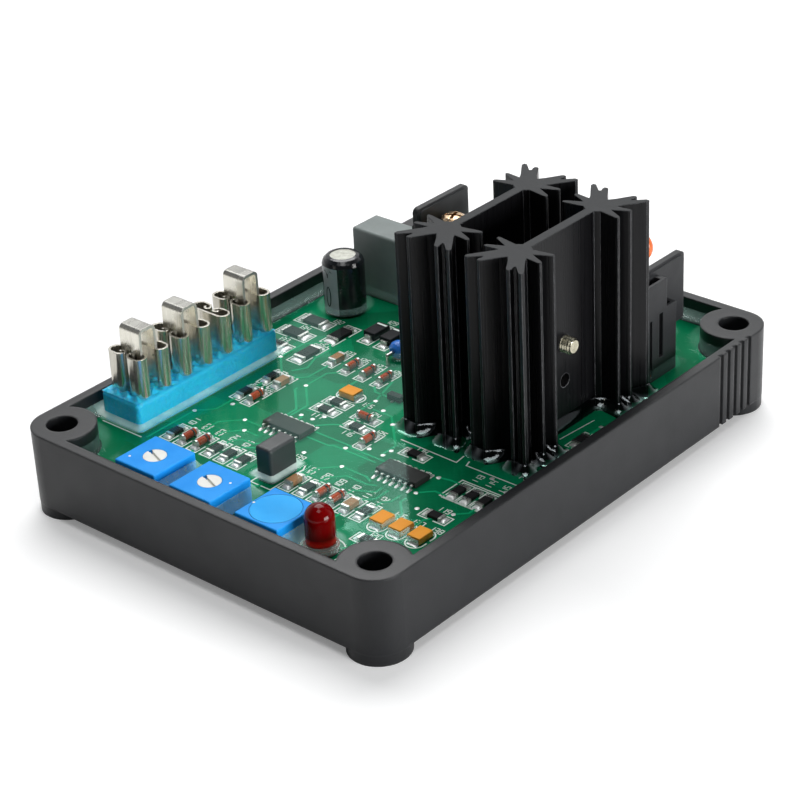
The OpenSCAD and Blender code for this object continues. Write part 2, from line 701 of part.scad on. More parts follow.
// Square wire clamps with turned-down edges, lifted with their loosened screws.
module wire_clamps() {
    color("#cdb684") for (i = [0:pole_n - 1]) translate([pole_x(i), pole_y, clamp_z]) difference() {
        union() {
            translate([-3.3, -3, 0]) cube([6.6, 6, 0.8]);
            for (s = [0, 1]) mirror([s, 0, 0]) translate([2.7, -3, -0.7]) cube([0.6, 6, 1]);
        }
        translate([0, 0, -2]) cylinder(r = strip_screw_r + 0.2, h = 4);
    }
}

// Pan-head screws with a cross recess.
module terminal_screws() {
    head_z = clamp_z + 0.8;
    color("#c8a565") for (i = [0:pole_n - 1]) translate([pole_x(i), pole_y, 0]) difference() {
        union() {
            translate([0, 0, head_z]) rotate_extrude()
                polygon([[0, 0], [2.5, 0], [2.5, 0.9], [2.3, 1.5], [1.7, 1.9], [0, 2.1]]);
            translate([0, 0, step_z - 7]) cylinder(r = strip_screw_r, h = head_z - step_z + 7.5);
        }
        for (a = [0, 90]) rotate(a + 20) translate([-1.6, -0.3, head_z + 1]) cube([3.2, 0.6, 2]);
        rotate(20) translate([-4, -0.3, head_z + 1.4]) cube([8, 0.6, 2]);
    }
}

// Tinned leads of the through-hole parts.
module lead_wires() {
    r = 0.35;
    axial_z = board_z + axial_r + seat;
    color("#c8c8c2") {
        for (p = leads) translate([p[0], p[1], tail_z]) cylinder(r = p[2], h = p[3] - tail_z);
        for (s = [0, 1], p = [axial_ends[s]]) {
            translate([p[0], p[1], tail_z]) cylinder(r = r, h = axial_z - tail_z);
            translate([p[0], p[1], axial_z]) sphere(r = r);
            translate([p[0], p[1], axial_z]) rotate([s == 0 ? -90 : 90, 0, 0]) cylinder(r = r, h = 1.6);
        }
    }
}

case_tray();
potting_resin();
circuit_board();
heat_sink_inner();
heat_sink_outer();
heat_sink_pins();
power_device_bodies();
power_device_tabs();
device_screws();
jumper_block();
receptacles();
jumper_clip_front();
jumper_clip_middle();
jumper_clip_rear();
trimmer_left_body();
trimmer_middle_body();
trimmer_right_body();
trimmer_left_rotor();
trimmer_middle_rotor();
trimmer_cover();
indicator_lamp();
electrolytic_can();
electrolytic_sleeve();
film_capacitor_large();
film_capacitor_small();
ic_bodies();
ic_leads();
tantalum_capacitors();
chip_resistors();
chip_capacitors();
chip_ends();
glass_diodes();
moulded_diodes();
axial_resistor();
dipped_capacitor();
terminal_strip();
terminal_plates();
wire_clamps();
terminal_screws();
lead_wires();
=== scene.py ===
import bmesh
import bpy
import numpy as np
from mathutils import Matrix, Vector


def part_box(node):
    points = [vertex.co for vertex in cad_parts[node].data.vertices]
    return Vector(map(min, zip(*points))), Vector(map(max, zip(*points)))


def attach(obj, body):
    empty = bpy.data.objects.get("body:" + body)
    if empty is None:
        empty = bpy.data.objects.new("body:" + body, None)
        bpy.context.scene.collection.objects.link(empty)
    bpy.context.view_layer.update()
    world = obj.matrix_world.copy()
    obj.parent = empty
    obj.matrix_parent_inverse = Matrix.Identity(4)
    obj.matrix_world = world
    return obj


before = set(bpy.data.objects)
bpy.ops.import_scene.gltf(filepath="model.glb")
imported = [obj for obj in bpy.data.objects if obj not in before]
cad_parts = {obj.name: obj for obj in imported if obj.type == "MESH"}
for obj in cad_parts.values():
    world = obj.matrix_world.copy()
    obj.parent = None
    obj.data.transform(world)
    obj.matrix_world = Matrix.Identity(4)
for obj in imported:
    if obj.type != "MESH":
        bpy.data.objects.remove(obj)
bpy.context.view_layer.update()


# Studio. The camera stands where the photograph was taken, a broad soft lamp hangs high behind the
# part, a small one above it, a third stands to the right, and the pale floor runs out of view.
# What gloss mirrors is white behind the part and dark on the near side, as in a room.
def placing_matrix(right, up, back, place):
    """Matrix whose columns are the right, up and back directions and the place."""
    columns = np.eye(4)
    columns[:3] = np.column_stack([right, up, back, place])
    return Matrix(columns.tolist())


azimuth, elevation, roll = np.radians([42.394, 29.12, -3.023])
view_back = np.array([np.sin(azimuth) * np.cos(elevation), -np.cos(azimuth) * np.cos(elevation),
                      np.sin(elevation)])
level_right = np.array([np.cos(azimuth), np.sin(azimuth), 0.0])
level_up = np.cross(view_back, level_right)
view_right = np.cos(roll) * level_right + np.sin(roll) * level_up
view_up = np.cos(roll) * level_up - np.sin(roll) * level_right
camera = bpy.data.objects.new("camera", bpy.data.cameras.new("camera"))
camera_place = [0.24635, -0.27181, 0.21487]
camera.matrix_world = placing_matrix(view_right, view_up, view_back, camera_place)
camera.data.sensor_width = 36.0
camera.data.lens = 107.46
camera.data.clip_start = 0.02
bpy.context.collection.objects.link(camera)
bpy.context.scene.camera = camera
bpy.context.scene.view_settings.view_transform = "Standard"


def soft_lamp(name, place, aim, size, power):
    """Rectangular lamp at a place in metres whose face looks at the aim point."""
    data = bpy.data.lights.new(name, "AREA")
    data.shape = "RECTANGLE"
    data.size, data.size_y = size
    data.energy = power
    lamp = bpy.data.objects.new(name, data)
    back = np.subtract(place, aim)
    back = back / np.linalg.norm(back)
    right = np.cross([0.0, 1.0, 0.0], back)
    right = right / np.linalg.norm(right)
    lamp.matrix_world = placing_matrix(right, np.cross(back, right), back, place)
    bpy.context.collection.objects.link(lamp)


soft_lamp("rear_lamp", [-0.45, 0.5, 1.1], [0.0, 0.0, 0.0], [0.9, 0.9], 13.8)
soft_lamp("top_lamp", [0.2, -0.25, 1.2], [0.0, 0.0, 0.0], [0.5, 0.5], 3.0)
soft_lamp("right_lamp", [1.2, 0.1, 0.22], [0.0, 0.0, 0.02], [0.4, 0.8], 15.5)


def add_node(tree, kind, inputs=None, **settings):
    """Shader node with its settings; an input takes a number, a colour or another node's output."""
    node = tree.nodes.new("ShaderNode" + kind)
    for name, value in settings.items():
        setattr(node, name, value)
    for name, value in (inputs or {}).items():
        if isinstance(value, bpy.types.NodeSocket):
            tree.links.new(value, node.inputs[name])
        else:
            node.inputs[name].default_value = value
    return node


def ramp(tree, source, stops):
    """Colour ramp over a value, with stops given as (place, colour)."""
    node = add_node(tree, "ValToRGB", {"Fac": source})
    while len(node.color_ramp.elements) < len(stops):
        node.color_ramp.elements.new(0.5)
    for element, (place, colour) in zip(node.color_ramp.elements, stops):
        element.position = place
        element.color = colour
    return node.outputs["Color"]


def scaled(tree, source, low, high, start=0.0, stop=1.0):
    """A value that runs from start to stop, carried to the span from low to high and held there."""
    node = add_node(tree, "MapRange", {"Value": source, "From Min": start, "From Max": stop,
                                       "To Min": low, "To Max": high})
    return node.outputs["Result"]


def combined(tree, operation, first, second=0.0):
    """What a Math node makes of two values."""
    return add_node(tree, "Math", {0: first, 1: second}, operation=operation).outputs[0]


world = bpy.data.worlds.new("studio")
world.use_nodes = True
bpy.context.scene.world = world
sky = world.node_tree
sky.nodes.clear()
direction = add_node(sky, "TexCoord").outputs["Generated"]
height = add_node(sky, "SeparateXYZ", {"Vector": direction}).outputs["Z"]
seen_colour = ramp(sky, height, [(0.0, (1, 1, 1, 1)), (0.4, (0.9, 0.91, 0.92, 1)),
                                 (0.6, (0.6, 0.61, 0.63, 1)), (0.8, (0.22, 0.23, 0.25, 1))])
behind_part = (-0.67, 0.74, 0.0)
behind = add_node(sky, "VectorMath", {0: direction, 1: behind_part}, operation="DOT_PRODUCT")
backdrop = scaled(sky, behind.outputs["Value"], 0.04, 1.0, -0.2, 0.7)
path = add_node(sky, "LightPath").outputs
seen_strength = combined(sky, "MAXIMUM", path["Is Camera Ray"], backdrop)
seen = add_node(sky, "Background", {"Color": seen_colour, "Strength": seen_strength})
ambient = add_node(sky, "Background", {"Color": (0.92, 0.96, 1.0, 1.0), "Strength": 0.12})
mirrored = combined(sky, "MAXIMUM", path["Is Camera Ray"], path["Is Glossy Ray"])
passing = combined(sky, "MAXIMUM", mirrored, path["Is Transmission Ray"])
both = add_node(sky, "MixShader", {0: passing, 1: ambient.outputs[0], 2: seen.outputs[0]})
add_node(sky, "OutputWorld", {"Surface": both.outputs[0]})


def grid_quads(rows, columns, count=1):
    """Corner numbers of the quads of count sheets of rows by columns points each."""
    first = np.arange(rows - 1)[:, None] * columns + np.arange(columns - 1)
    quads = np.stack([first, first + 1, first + columns + 1, first + columns], axis=-1).reshape(-1, 4)
    return (np.arange(count)[:, None, None] * rows * columns + quads).reshape(-1, 4)


def mesh_object(name, points, faces, material, smooth=True, closed=True):
    """Object at the origin from points in millimetres; closed forms get outward faces."""
    mesh = bpy.data.meshes.new(name)
    mesh.from_pydata((np.asarray(points).reshape(-1, 3) * 0.001).tolist(), [], np.asarray(faces).tolist())
    if closed:
        form = bmesh.new()
        form.from_mesh(mesh)
        bmesh.ops.remove_doubles(form, verts=form.verts, dist=1e-7)
        bmesh.ops.recalc_face_normals(form, faces=form.faces)
        form.to_mesh(mesh)
        form.free()
    mesh.materials.append(material)
    mesh.polygons.foreach_set("use_smooth", np.full(len(mesh.polygons), smooth))
    piece = bpy.data.objects.new(name, mesh)
    bpy.context.collection.objects.link(piece)
    return piece


def shader_of(name, colour, roughness, metallic=0.0, **plain):
    """New material with plain values on its Principled shader, and its node tree."""
    material = bpy.data.materials.new(name)
    material.use_nodes = True
    sockets = material.node_tree.nodes["Principled BSDF"].inputs
    sockets["Base Color"].default_value = colour
    sockets["Roughness"].default_value = roughness
    sockets["Metallic"].default_value = metallic
    for label, value in plain.items():
        sockets[label.replace("_", " ")].default_value = value
    return material, material.node_tree


def feed(tree, **sources):
    """Links sources to the sockets of a material's Principled shader."""
    sockets = tree.nodes["Principled BSDF"].inputs
    for label, source in sources.items():
        tree.links.new(source, sockets[label.replace("_", " ")])


def blend(tree, share, first, second):
    """Colour that goes from the first to the second as the share goes from 0 to 1."""
    node = add_node(tree, "Mix", {0: share, 6: first, 7: second}, data_type="RGBA")
    return node.outputs[2]


floor_paint, floor_tree = shader_of("floor_paint", (0.93, 0.93, 0.93, 1.0), 0.7, Specular_IOR_Level=0.1,
                                    Emission_Strength=1.0)
floor_path = add_node(floor_tree, "LightPath").outputs
floor_lift = blend(floor_tree, floor_path["Is Camera Ray"], (0.0, 0.0, 0.0, 1.0), (0.2, 0.2, 0.2, 1.0))
feed(floor_tree, Emission_Color=floor_lift)
floor_span = np.linspace(-2500, 2500, 9)
across, along = np.meshgrid(floor_span, floor_span)
floor = mesh_object("studio_floor", np.stack([across, along, 0 * across], axis=-1), grid_quads(9, 9),
                    floor_paint, smooth=False, closed=False)


# Tray. An open moulding of black plastic with a faint spark-eroded texture, its corner posts
# bored for the mounting screws; its edges are a little paler than the flats, partly from handling
# and partly as a painted highlight.
def effect_group(name, inputs, outputs):
    """Empty shader group with float inputs (name, value) and outputs (name, kind)."""
    group = bpy.data.node_groups.new(name, "ShaderNodeTree")
    for label, value in inputs:
        socket = group.interface.new_socket(label, in_out="INPUT", socket_type="NodeSocketFloat")
        socket.default_value = value
    for label, kind in outputs:
        group.interface.new_socket(label, in_out="OUTPUT", socket_type="NodeSocket" + kind)
    return group, group.nodes.new("NodeGroupInput"), group.nodes.new("NodeGroupOutput")


# Grain of a moulded skin: a fine noise for the bump, and a slow cloud for tint and gloss.
grain_group, grain_in, grain_out = effect_group(
    "moulded_grain", [("Fineness", 4000.0)], [("Height", "Float"), ("Cloud", "Float")])
grain_place = add_node(grain_group, "TexCoord").outputs["Object"]
grain_fine = add_node(grain_group, "TexNoise", {"Vector": grain_place, "Detail": 3.0,
                                                "Scale": grain_in.outputs["Fineness"]})
grain_slow = add_node(grain_group, "TexNoise", {"Vector": grain_place, "Scale": 170.0, "Detail": 5.0,
                                                "Roughness": 0.6})
grain_cloud = scaled(grain_group, grain_slow.outputs["Fac"], 0.0, 1.0, 0.3, 0.7)
grain_group.links.new(grain_fine.outputs["Fac"], grain_out.inputs["Height"])
grain_group.links.new(grain_cloud, grain_out.inputs["Cloud"])

# Rounded edges: normals softened over a small radius, and a mask that is bright along the edges;
# it carries both edge wear and a painted edge highlight.
edge_group, edge_in, edge_out = effect_group(
    "rounded_edges", [("Radius", 0.0004)], [("Normal", "Vector"), ("Wear and Highlight", "Float")])
edge_soft = add_node(edge_group, "Bevel", {"Radius": edge_in.outputs["Radius"]}, samples=4).outputs["Normal"]
edge_flat = add_node(edge_group, "NewGeometry").outputs["Normal"]
edge_dot = add_node(edge_group, "VectorMath", {0: edge_soft, 1: edge_flat}, operation="DOT_PRODUCT")
edge_turn = scaled(edge_group, edge_dot.outputs["Value"], 0.0, 1.0, 0.99, 0.8)
edge_place = add_node(edge_group, "TexCoord").outputs["Object"]
edge_rub = add_node(edge_group, "TexNoise", {"Vector": edge_place, "Scale": 900.0})
edge_wear_and_highlight = combined(edge_group, "MULTIPLY", edge_turn, edge_rub.outputs["Fac"])
edge_group.links.new(edge_soft, edge_out.inputs["Normal"])
edge_group.links.new(edge_wear_and_highlight, edge_out.inputs["Wear and Highlight"])


def effect(tree, group, **values):
    """Outputs of an effect group that is placed in a material with these input values."""
    node = add_node(tree, "Group", node_tree=group)
    for label, value in values.items():
        node.inputs[label.replace("_", " ")].default_value = value
    return node.outputs


def moulded(name, colour, cloud_colour, edge_wear_and_highlight_colour, roughness, fineness=4000.0, depth=0.06, radius=0.0003,
            **plain):
    """Moulded plastic: clouded colour, edges paler with wear and a painted highlight, fine grain as bump and
    as gloss.
    """
    material, tree = shader_of(name, colour, roughness, **plain)
    grain = effect(tree, grain_group, Fineness=fineness)
    edges = effect(tree, edge_group, Radius=radius)
    body = blend(tree, grain["Cloud"], colour, cloud_colour)
    bump = add_node(tree, "Bump", {"Height": grain["Height"], "Normal": edges["Normal"],
                                   "Strength": depth, "Distance": 0.0003})
    # The base colour is clouded, and paler along the edges with wear and a painted edge highlight.
    feed(tree, Base_Color=blend(tree, edges["Wear and Highlight"], body, edge_wear_and_highlight_colour),
         Roughness=scaled(tree, grain["Cloud"], roughness * 0.85, roughness * 1.2),
         Normal=bump.outputs["Normal"])
    return material


def dress(material, *names):
    """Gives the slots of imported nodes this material."""
    for name in names:
        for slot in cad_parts[name].material_slots:
            slot.material = material


def paint(red, green, blue):
    """Linear colour with alpha from the 0 to 255 values that a picture shows."""
    share = np.array([red, green, blue]) / 255.0
    linear = np.where(share <= 0.04045, share / 12.92, ((share + 0.055) / 1.055) ** 2.4)
    return (*linear.tolist(), 1.0)


tray_plastic = moulded("tray_plastic", paint(31, 32, 34), paint(27, 28, 30), paint(58, 59, 61), 0.33,
                       fineness=5200.0, depth=0.1, radius=0.0006, Specular_IOR_Level=0.35)
dress(tray_plastic, "case_tray")


# Potting. Cream-grey resin that is poured into the tray below the board and sets round the
# soldered tails, so that it holds the board in the tray.
potting = moulded("potting", paint(185, 196, 186), paint(160, 172, 165), paint(205, 212, 205), 0.35)
dress(potting, "potting_resin")


# Board. Glass-fibre laminate under a green solder mask; copper tracks show through the mask as
# paler ribbons, the vias are tinned dots, and the legend is printed in white.
mask_green, board_tree = shader_of("mask_green", paint(6, 130, 85), 0.4, Specular_IOR_Level=0.03)
board_grain = effect(board_tree, grain_group, Fineness=2600.0)
board_place = add_node(board_tree, "TexCoord").outputs["Object"]
weave = add_node(board_tree, "TexChecker", {"Vector": board_place, "Scale": 1400.0})
pour_cells = add_node(board_tree, "TexVoronoi", {"Vector": board_place, "Scale": 95.0, "Randomness": 0.85},
                      distance="CHEBYCHEV", voronoi_dimensions="2D")
pour_pick = add_node(board_tree, "SeparateColor", {"Color": pour_cells.outputs["Color"]})
pour_share = combined(board_tree, "GREATER_THAN", pour_pick.outputs[0], 0.55)
bare_green = blend(board_tree, board_grain["Cloud"], paint(4, 122, 79), paint(3, 108, 69))
pour_green = blend(board_tree, board_grain["Cloud"], paint(6, 140, 93), paint(4, 128, 84))
board_cloud = blend(board_tree, pour_share, bare_green, pour_green)
board_weave = combined(board_tree, "MULTIPLY", weave.outputs["Fac"], 0.08)
feed(board_tree, Base_Color=blend(board_tree, board_weave, board_cloud, paint(2, 74, 48)),
     Roughness=scaled(board_tree, board_grain["Height"], 0.3, 0.45))
dress(mask_green, "circuit_board")
board_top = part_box("circuit_board")[1][2] * 1000.0


def ribbon_points(paths, width, low, high):
    """Flat bars along paths (count, points, 2): each path is offset by half the width to both
    sides along the mitre of its two neighbouring steps, at a low and a high level."""
    paths = np.asarray(paths, float)
    step = np.diff(paths, axis=1)
    step = step / np.linalg.norm(step, axis=2, keepdims=True)
    before = np.concatenate([step[:, :1], step], axis=1)
    after = np.concatenate([step, step[:, -1:]], axis=1)
    both_ways = before + after
    side = np.stack([-both_ways[..., 1], both_ways[..., 0]], axis=2)
    side = side * (width / 2) / (1 + np.sum(before * after, axis=2, keepdims=True))
    levels = np.full(paths.shape[:2] + (1,), 1.0)
    left = paths + side
    right = paths - side
    return np.stack([np.concatenate([left, levels * high], axis=2),
                     np.concatenate([right, levels * high], axis=2),
                     np.concatenate([right, levels * low], axis=2),
                     np.concatenate([left, levels * low], axis=2)], axis=2)


def ribbon_faces(count, points):
    """Four side strips and two end caps for every ribbon of the given number of points."""
    start = np.arange(count)[:, None, None] * points * 4
    ring = start + np.arange(points - 1)[None, :, None] * 4 + np.arange(4)[None, None, :]
    after = start + np.arange(points - 1)[None, :, None] * 4 + (np.arange(4)[None, None, :] + 1) % 4
    sides = np.stack([ring, ring + 4, after + 4, after], axis=-1).reshape(-1, 4)
    near = start[:, 0] + np.array([[0, 1, 2, 3]])
    far = start[:, 0] + (points - 1) * 4 + np.array([[3, 2, 1, 0]])
    return np.concatenate([sides, near, far])


def join(parts):
    """Points and faces of several meshes as one, the face numbers moved on."""
    sizes = np.cumsum([0] + [len(points) for points, faces in parts])
    points = np.concatenate([points for points, faces in parts])
    faces = np.concatenate([faces + start for start, (_, faces) in zip(sizes, parts)])
    return points, faces


def ribbons(paths, width, low, high):
    """Points and faces of ribbons along paths that all have the same number of points."""
    paths = np.asarray(paths, float)
    points = ribbon_points(paths, width, low, high).reshape(-1, 3)
    return points, ribbon_faces(paths.shape[0], paths.shape[1])


tracks = [
    [[-6.4, -17.7], [-3.9, -15.2], [-0.7, -13.5], [-3.4, -9.2], [-3.4, -4.6], [-5.6, 2.5]],
    [[-4.6, -21.0], [0.5, -21.0], [1.0, -20.5], [10.7, -20.5]],
    [[-4.4, -18.9], [3.6, -18.9], [4.0, -19.3], [11.4, -19.3], [14.4, -19.3]],
    [[-17.8, -9.2], [-17.8, -9.9], [-12.7, -15.0], [-12.7, -18.9]],
    [[-1.8, -7.1], [2.5, -7.1], [4.5, -9.1], [9.7, -14.3], [9.7, -17.9]],
    [[-23.0, -5.2], [-21.5, -2.7], [-22.9, 1.0], [-22.9, 5.0], [-24.9, 7.0]],
    [[-26.9, -37.6], [-26.9, -26.0], [-24.2, -23.3], [-24.2, -18.0]],
    [[-20.7, -31.0], [-20.7, -26.4], [-17.4, -23.1], [-12.9, -23.1]],
    [[-17.5, -31.0], [-17.5, -28.4], [-14.9, -25.8], [-11.7, -25.8]],
    [[-14.2, -31.0], [-14.2, -29.6], [-12.9, -28.3], [-10.4, -28.3], [-9.1, -27.0], [-9.1, -25.4]],
    [[-11.0, -31.0], [-11.0, -30.2], [-6.6, -27.4], [-6.6, -25.4]],
    [[-7.75, -31.0], [-4.0, -27.3], [-4.0, -25.4]],
    [[4.1, -30.8], [4.1, -27.6], [6.9, -24.8], [12.4, -24.8], [14.0, -25.6]],
    [[7.2, -30.8], [7.2, -29.0], [9.6, -26.6], [14.2, -26.6], [15.7, -25.9]],
    [[13.5, -30.8], [13.5, -29.4], [16.9, -27.6], [16.9, -25.9]],
    [[16.7, -30.8], [18.3, -29.2], [18.3, -25.9]],
    [[19.8, -30.8], [19.8, -29.4], [20.9, -28.3], [20.9, -25.9]],
    [[24.9, -31.8], [24.9, -30.2], [22.2, -27.5], [22.2, -25.9]],
    [[28.8, -31.8], [28.8, -29.6], [31.6, -25.3]],
    [[-12.0, -18.6], [-12.0, -12.9], [-17.2, -7.7], [-17.2, -2.2], [-14.9, 0.0]],
    [[-10.0, -18.6], [-10.0, -16.6], [-10.6, -16.0]],
    [[-24.2, -13.2], [-24.2, -11.1], [-24.2, -6.6], [-28.4, -2.4], [-28.4, 3.6], [-25.0, 7.0]],
    [[-21.2, -12.4], [-21.2, -7.4], [-19.0, -5.2], [-19.0, 0.2]],
    [[-10.9, -1.0], [-10.9, -3.4], [-8.2, -6.1]],
    [[-7.0, -0.8], [-5.6, -2.2], [-2.0, -2.2]],
    [[-14.86, -41.0], [-14.86, -38.4], [-17.5, -35.8]],
    [[-1.67, -41.4], [-1.67, -39.2], [0.15, -37.4]],
    [[12.94, -41.2], [12.94, -38.2], [10.4, -35.7]],
    [[18.2, -44.6], [18.2, -40.4], [16.7, -38.9], [16.7, -35.9]],
    [[33.8, 11.4], [33.8, 8.0]], [[33.8, 1.8], [33.8, 3.4]],
    [[22.4, -23.8], [24.6, -21.6], [27.9, -21.6]], [[22.3, -17.9], [24.4, -17.4], [27.9, -17.4]],
    [[31.6, -25.3], [33.4, -23.5], [33.4, -22.0]],
    [[25.8, -41.6], [23.6, -43.8], [22.9, -43.8]],
]
mask_over_copper, copper_tree = shader_of("mask_over_copper", paint(24, 166, 114), 0.4,
                                          Specular_IOR_Level=0.03)
copper_grain = effect(copper_tree, grain_group)
copper_green = blend(copper_tree, copper_grain["Cloud"], paint(24, 170, 116), paint(15, 152, 101))
feed(copper_tree, Base_Color=copper_green,
     Roughness=scaled(copper_tree, copper_grain["Height"], 0.24, 0.4))
track_width = 0.42
track_parts = [ribbons([track], track_width, board_top - 0.05, board_top + 0.03) for track in tracks]
board_tracks = mesh_object("board_tracks", *join(track_parts), mask_over_copper, smooth=False)
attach(board_tracks, "base")


# Streaks of drawn or rolled metal: a noise pulled out along one direction.
streak_group, streak_in, streak_out = effect_group(
    "drawn_streaks", [("Across X", 2500.0), ("Across Y", 2500.0), ("Across Z", 60.0)], [("Streak", "Float")])
streak_place = add_node(streak_group, "TexCoord").outputs["Object"]
streak_scale = add_node(streak_group, "CombineXYZ", {axis: streak_in.outputs[axis] for axis in range(3)})
streak_pull = add_node(streak_group, "VectorMath", {0: streak_place, 1: streak_scale.outputs[0]},
                       operation="MULTIPLY")
streak_noise = add_node(streak_group, "TexNoise", {"Vector": streak_pull.outputs[0], "Scale": 1.0,
                                                   "Detail": 4.0, "Roughness": 0.65})
streak_even = scaled(streak_group, streak_noise.outputs["Fac"], 0.0, 1.0, 0.28, 0.72)
streak_group.links.new(streak_even, streak_out.inputs["Streak"])


def streaks(tree, across):
    """Streak mask in a material, its noise scaled by the three values of across."""
    return effect(tree, streak_group, Across_X=across[0], Across_Y=across[1], Across_Z=across[2])["Streak"]


def bright_metal(name, colour, dull_colour, roughness, across, depth=0.05, radius=0.00012, metallic=1.0):
    """Plated or tinned metal: streaks change its tint, its gloss and, slightly, its surface."""
    material, tree = shader_of(name, colour, roughness, metallic)
    streak = streaks(tree, across)
    edges = effect(tree, edge_group, Radius=radius)
    bump = add_node(tree, "Bump", {"Height": streak, "Normal": edges["Normal"], "Strength": depth,
                                   "Distance": 0.0002})
    feed(tree, Base_Color=blend(tree, streak, dull_colour, colour),
         Roughness=scaled(tree, streak, roughness * 1.4, roughness * 0.7), Normal=bump.outputs["Normal"])
    return material


def domes(spots, radius, level, rows=4, columns=25):
    """Round lumps at spots: a disc of rings, each at the level for its share of the radius."""
    turn, ring = np.meshgrid(np.linspace(0, 2 * np.pi, columns), np.linspace(0, 1, rows))
    shape = np.stack([radius * ring * np.cos(turn), radius * ring * np.sin(turn), level(ring)], axis=-1)
    points = shape.reshape(1, -1, 3) + np.column_stack([spots, np.zeros(len(spots))])[:, None]
    return points, grid_quads(rows, columns, len(spots))


solder_bright = bright_metal("solder_bright", paint(236, 238, 236), paint(200, 204, 202), 0.42,
                             (900, 900, 900), metallic=0.55)
via_radius = 0.45
via_spots = np.array([
    [22.3, -17.9], [22.4, -23.8], [34.1, -14.9], [31.6, -25.3], [25.7, -27.4], [33.8, 11.4], [33.8, 1.8],
    [-10.6, -16.0], [-8.0, -15.9], [-6.9, -14.1], [-1.4, -25.2], [3.3, -19.9], [6.7, -17.7], [10.2, -16.0],
    [10.0, -17.9], [0.0, -6.4], [-24.4, -11.1], [-23.1, -20.3], [-28.4, -2.4], [-17.2, -7.7], [-3.4, -4.6],
    [-12.7, -18.9], [4.5, -9.1], [-17.4, -23.1], [6.9, -24.8], [-26.9, -26.0], [-14.9, -25.8], [29.6, -12.9]])


def via_level(ring):
    """Level of solder: a flat lump of 1 - share^4 of the radius, less a dip of (1 - share)^2."""
    return board_top + 0.09 * (1 - ring ** 4) - 0.07 * (1 - ring) ** 2


board_vias = mesh_object("board_vias", *domes(via_spots, via_radius, via_level, 5, 13), solder_bright,
                         closed=False)
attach(board_vias, "base")


# Chip parts. Small bodies with tinned ends lie flat on the board, each soldered to two pads,
# with a printed bracket round either end and a plain number beside it.
def turned(places, offsets):
    """Offsets (points, 2) turned by each place's angle in degrees and moved there (count, points, 2)."""
    angle = np.radians(places[:, 2])[:, None]
    x = places[:, :1] + offsets[None, :, 0] * np.cos(angle) - offsets[None, :, 1] * np.sin(angle)
    y = places[:, 1:2] + offsets[None, :, 0] * np.sin(angle) + offsets[None, :, 1] * np.cos(angle)
    return np.stack([x, y], axis=2)


def cushions(places, half_length, half_width, height, size=7):
    """Soft solder lumps: height times (1 - u^4)(1 - v^4) over each turned rectangle."""
    span = np.linspace(-1, 1, size)
    u, v = np.meshgrid(span, span)
    flat = turned(places, np.stack([u.ravel() * half_length, v.ravel() * half_width], axis=1))
    rise = board_top - 0.03 + height * ((1 - u ** 4) * (1 - v ** 4)).ravel()
    points = np.concatenate([flat, np.broadcast_to(rise[None, :, None], flat.shape[:2] + (1,))], axis=2)
    return points.reshape(-1, 3), grid_quads(size, size, len(places))


def chip_row(first_x, pitch):
    """Six chips across the front of the board, as x, y and the angle they lie at."""
    return np.column_stack([first_x + pitch * np.arange(6), np.full(6, -33.4), np.full(6, 90.0)])


front_left = chip_row(-24, 3.25)
front_right = chip_row(4.1, 3.14)
small_resistors = np.vstack([
    front_left[[0, 3, 4, 5]], front_right[[1, 5]],
    [[27.9, -19.5, 90], [30.65, -19.5, 90], [33.4, -19.5, 90], [-24.2, -16, 90], [-24.2, -9.1, 90],
     [-8.2, -12.3, 0], [-8.2, -9.2, 0], [0.3, -13.7, 0], [14.4, -14.7, 0], [29.8, -27.6, 0],
     [25.8, -39.6, 0], [33.9, 5.6, 90]]])
large_resistors = np.array([
    [-32.5, 0.2, 0], [-32.5, 5.75, 0], [-32.5, 11.3, 0], [-25, 1.2, 90], [-25, 10.1, 90]])
flat_capacitors = np.vstack([front_right[[0, 4]], [[-21.2, -9.6, 90], [-19, 2.6, 90]]])
glass_diodes = np.vstack([
    front_left[[1, 2]], front_right[[2, 3]],
    [[-21.2, -16.4, 90], [-0.3, -10.5, 0], [4.9, -16, 90], [-14.9, 2, 90], [-10.95, 2, 90], [-7, 2, 90]]])
power_diodes = np.array([[-19.7, 14.3, 90], [-15.8, 14.3, 90]])
tantalums = np.array([[-8, -5.9, 0], [24.1, -34.1, 90], [28.1, -34.1, 90], [32.1, -34.1, 90]])
chip_kinds = [
    # places, pad reach, pad half length, pad half width, solder height, legend margin, rounded legend
    (small_resistors, 1.75, 0.75, 0.9, 0.32, 0.3, False), (large_resistors, 2.7, 0.9, 1.35, 0.35, 0.3, False),
    (flat_capacitors, 1.75, 0.75, 0.9, 0.45, 0.3, False), (glass_diodes, 1.85, 0.7, 0.85, 0.4, 0.3, False),
    (power_diodes, 2.85, 0.8, 1.0, 0.35, 0.35, False), (tantalums, 1.85, 0.55, 1.15, 0.16, 0.5, True)]
legend_width = 0.26
legend_low = board_top - 0.03
legend_high = board_top + 0.02
bracket_start = 0.4
solder_parts = []
bracket_parts = []
for places, reach, half_length, half_width, lump, margin, rounded in chip_kinds:
    for end in (0.0, 180.0):
        ends = places + np.array([0.0, 0.0, end])
        centres = turned(ends, np.array([[reach, 0.0]]))[:, 0]
        solder_parts.append(cushions(np.column_stack([centres, ends[:, 2]]), half_length, half_width, lump))
        far = reach + half_length + margin
        wide = half_width + margin
        corner = [[far, wide], [far, -wide]]
        if rounded:
            bend = np.radians(np.linspace(90, -90, 13))
            corner = np.column_stack([far - wide + wide * np.cos(bend), wide * np.sin(bend)])
        bracket = np.vstack([[bracket_start, wide], corner, [bracket_start, -wide]])
        bracket_parts.append(ribbons(turned(ends, bracket), legend_width, legend_low, legend_high))
ic_places = np.array([[-9.0, -20.9], [17.3, -21.2]])
lead_pitch = 1.27
ic_offsets = np.stack(np.meshgrid(lead_pitch * np.arange(-3, 4), [-2.85, 2.85]), axis=-1).reshape(-1, 2)
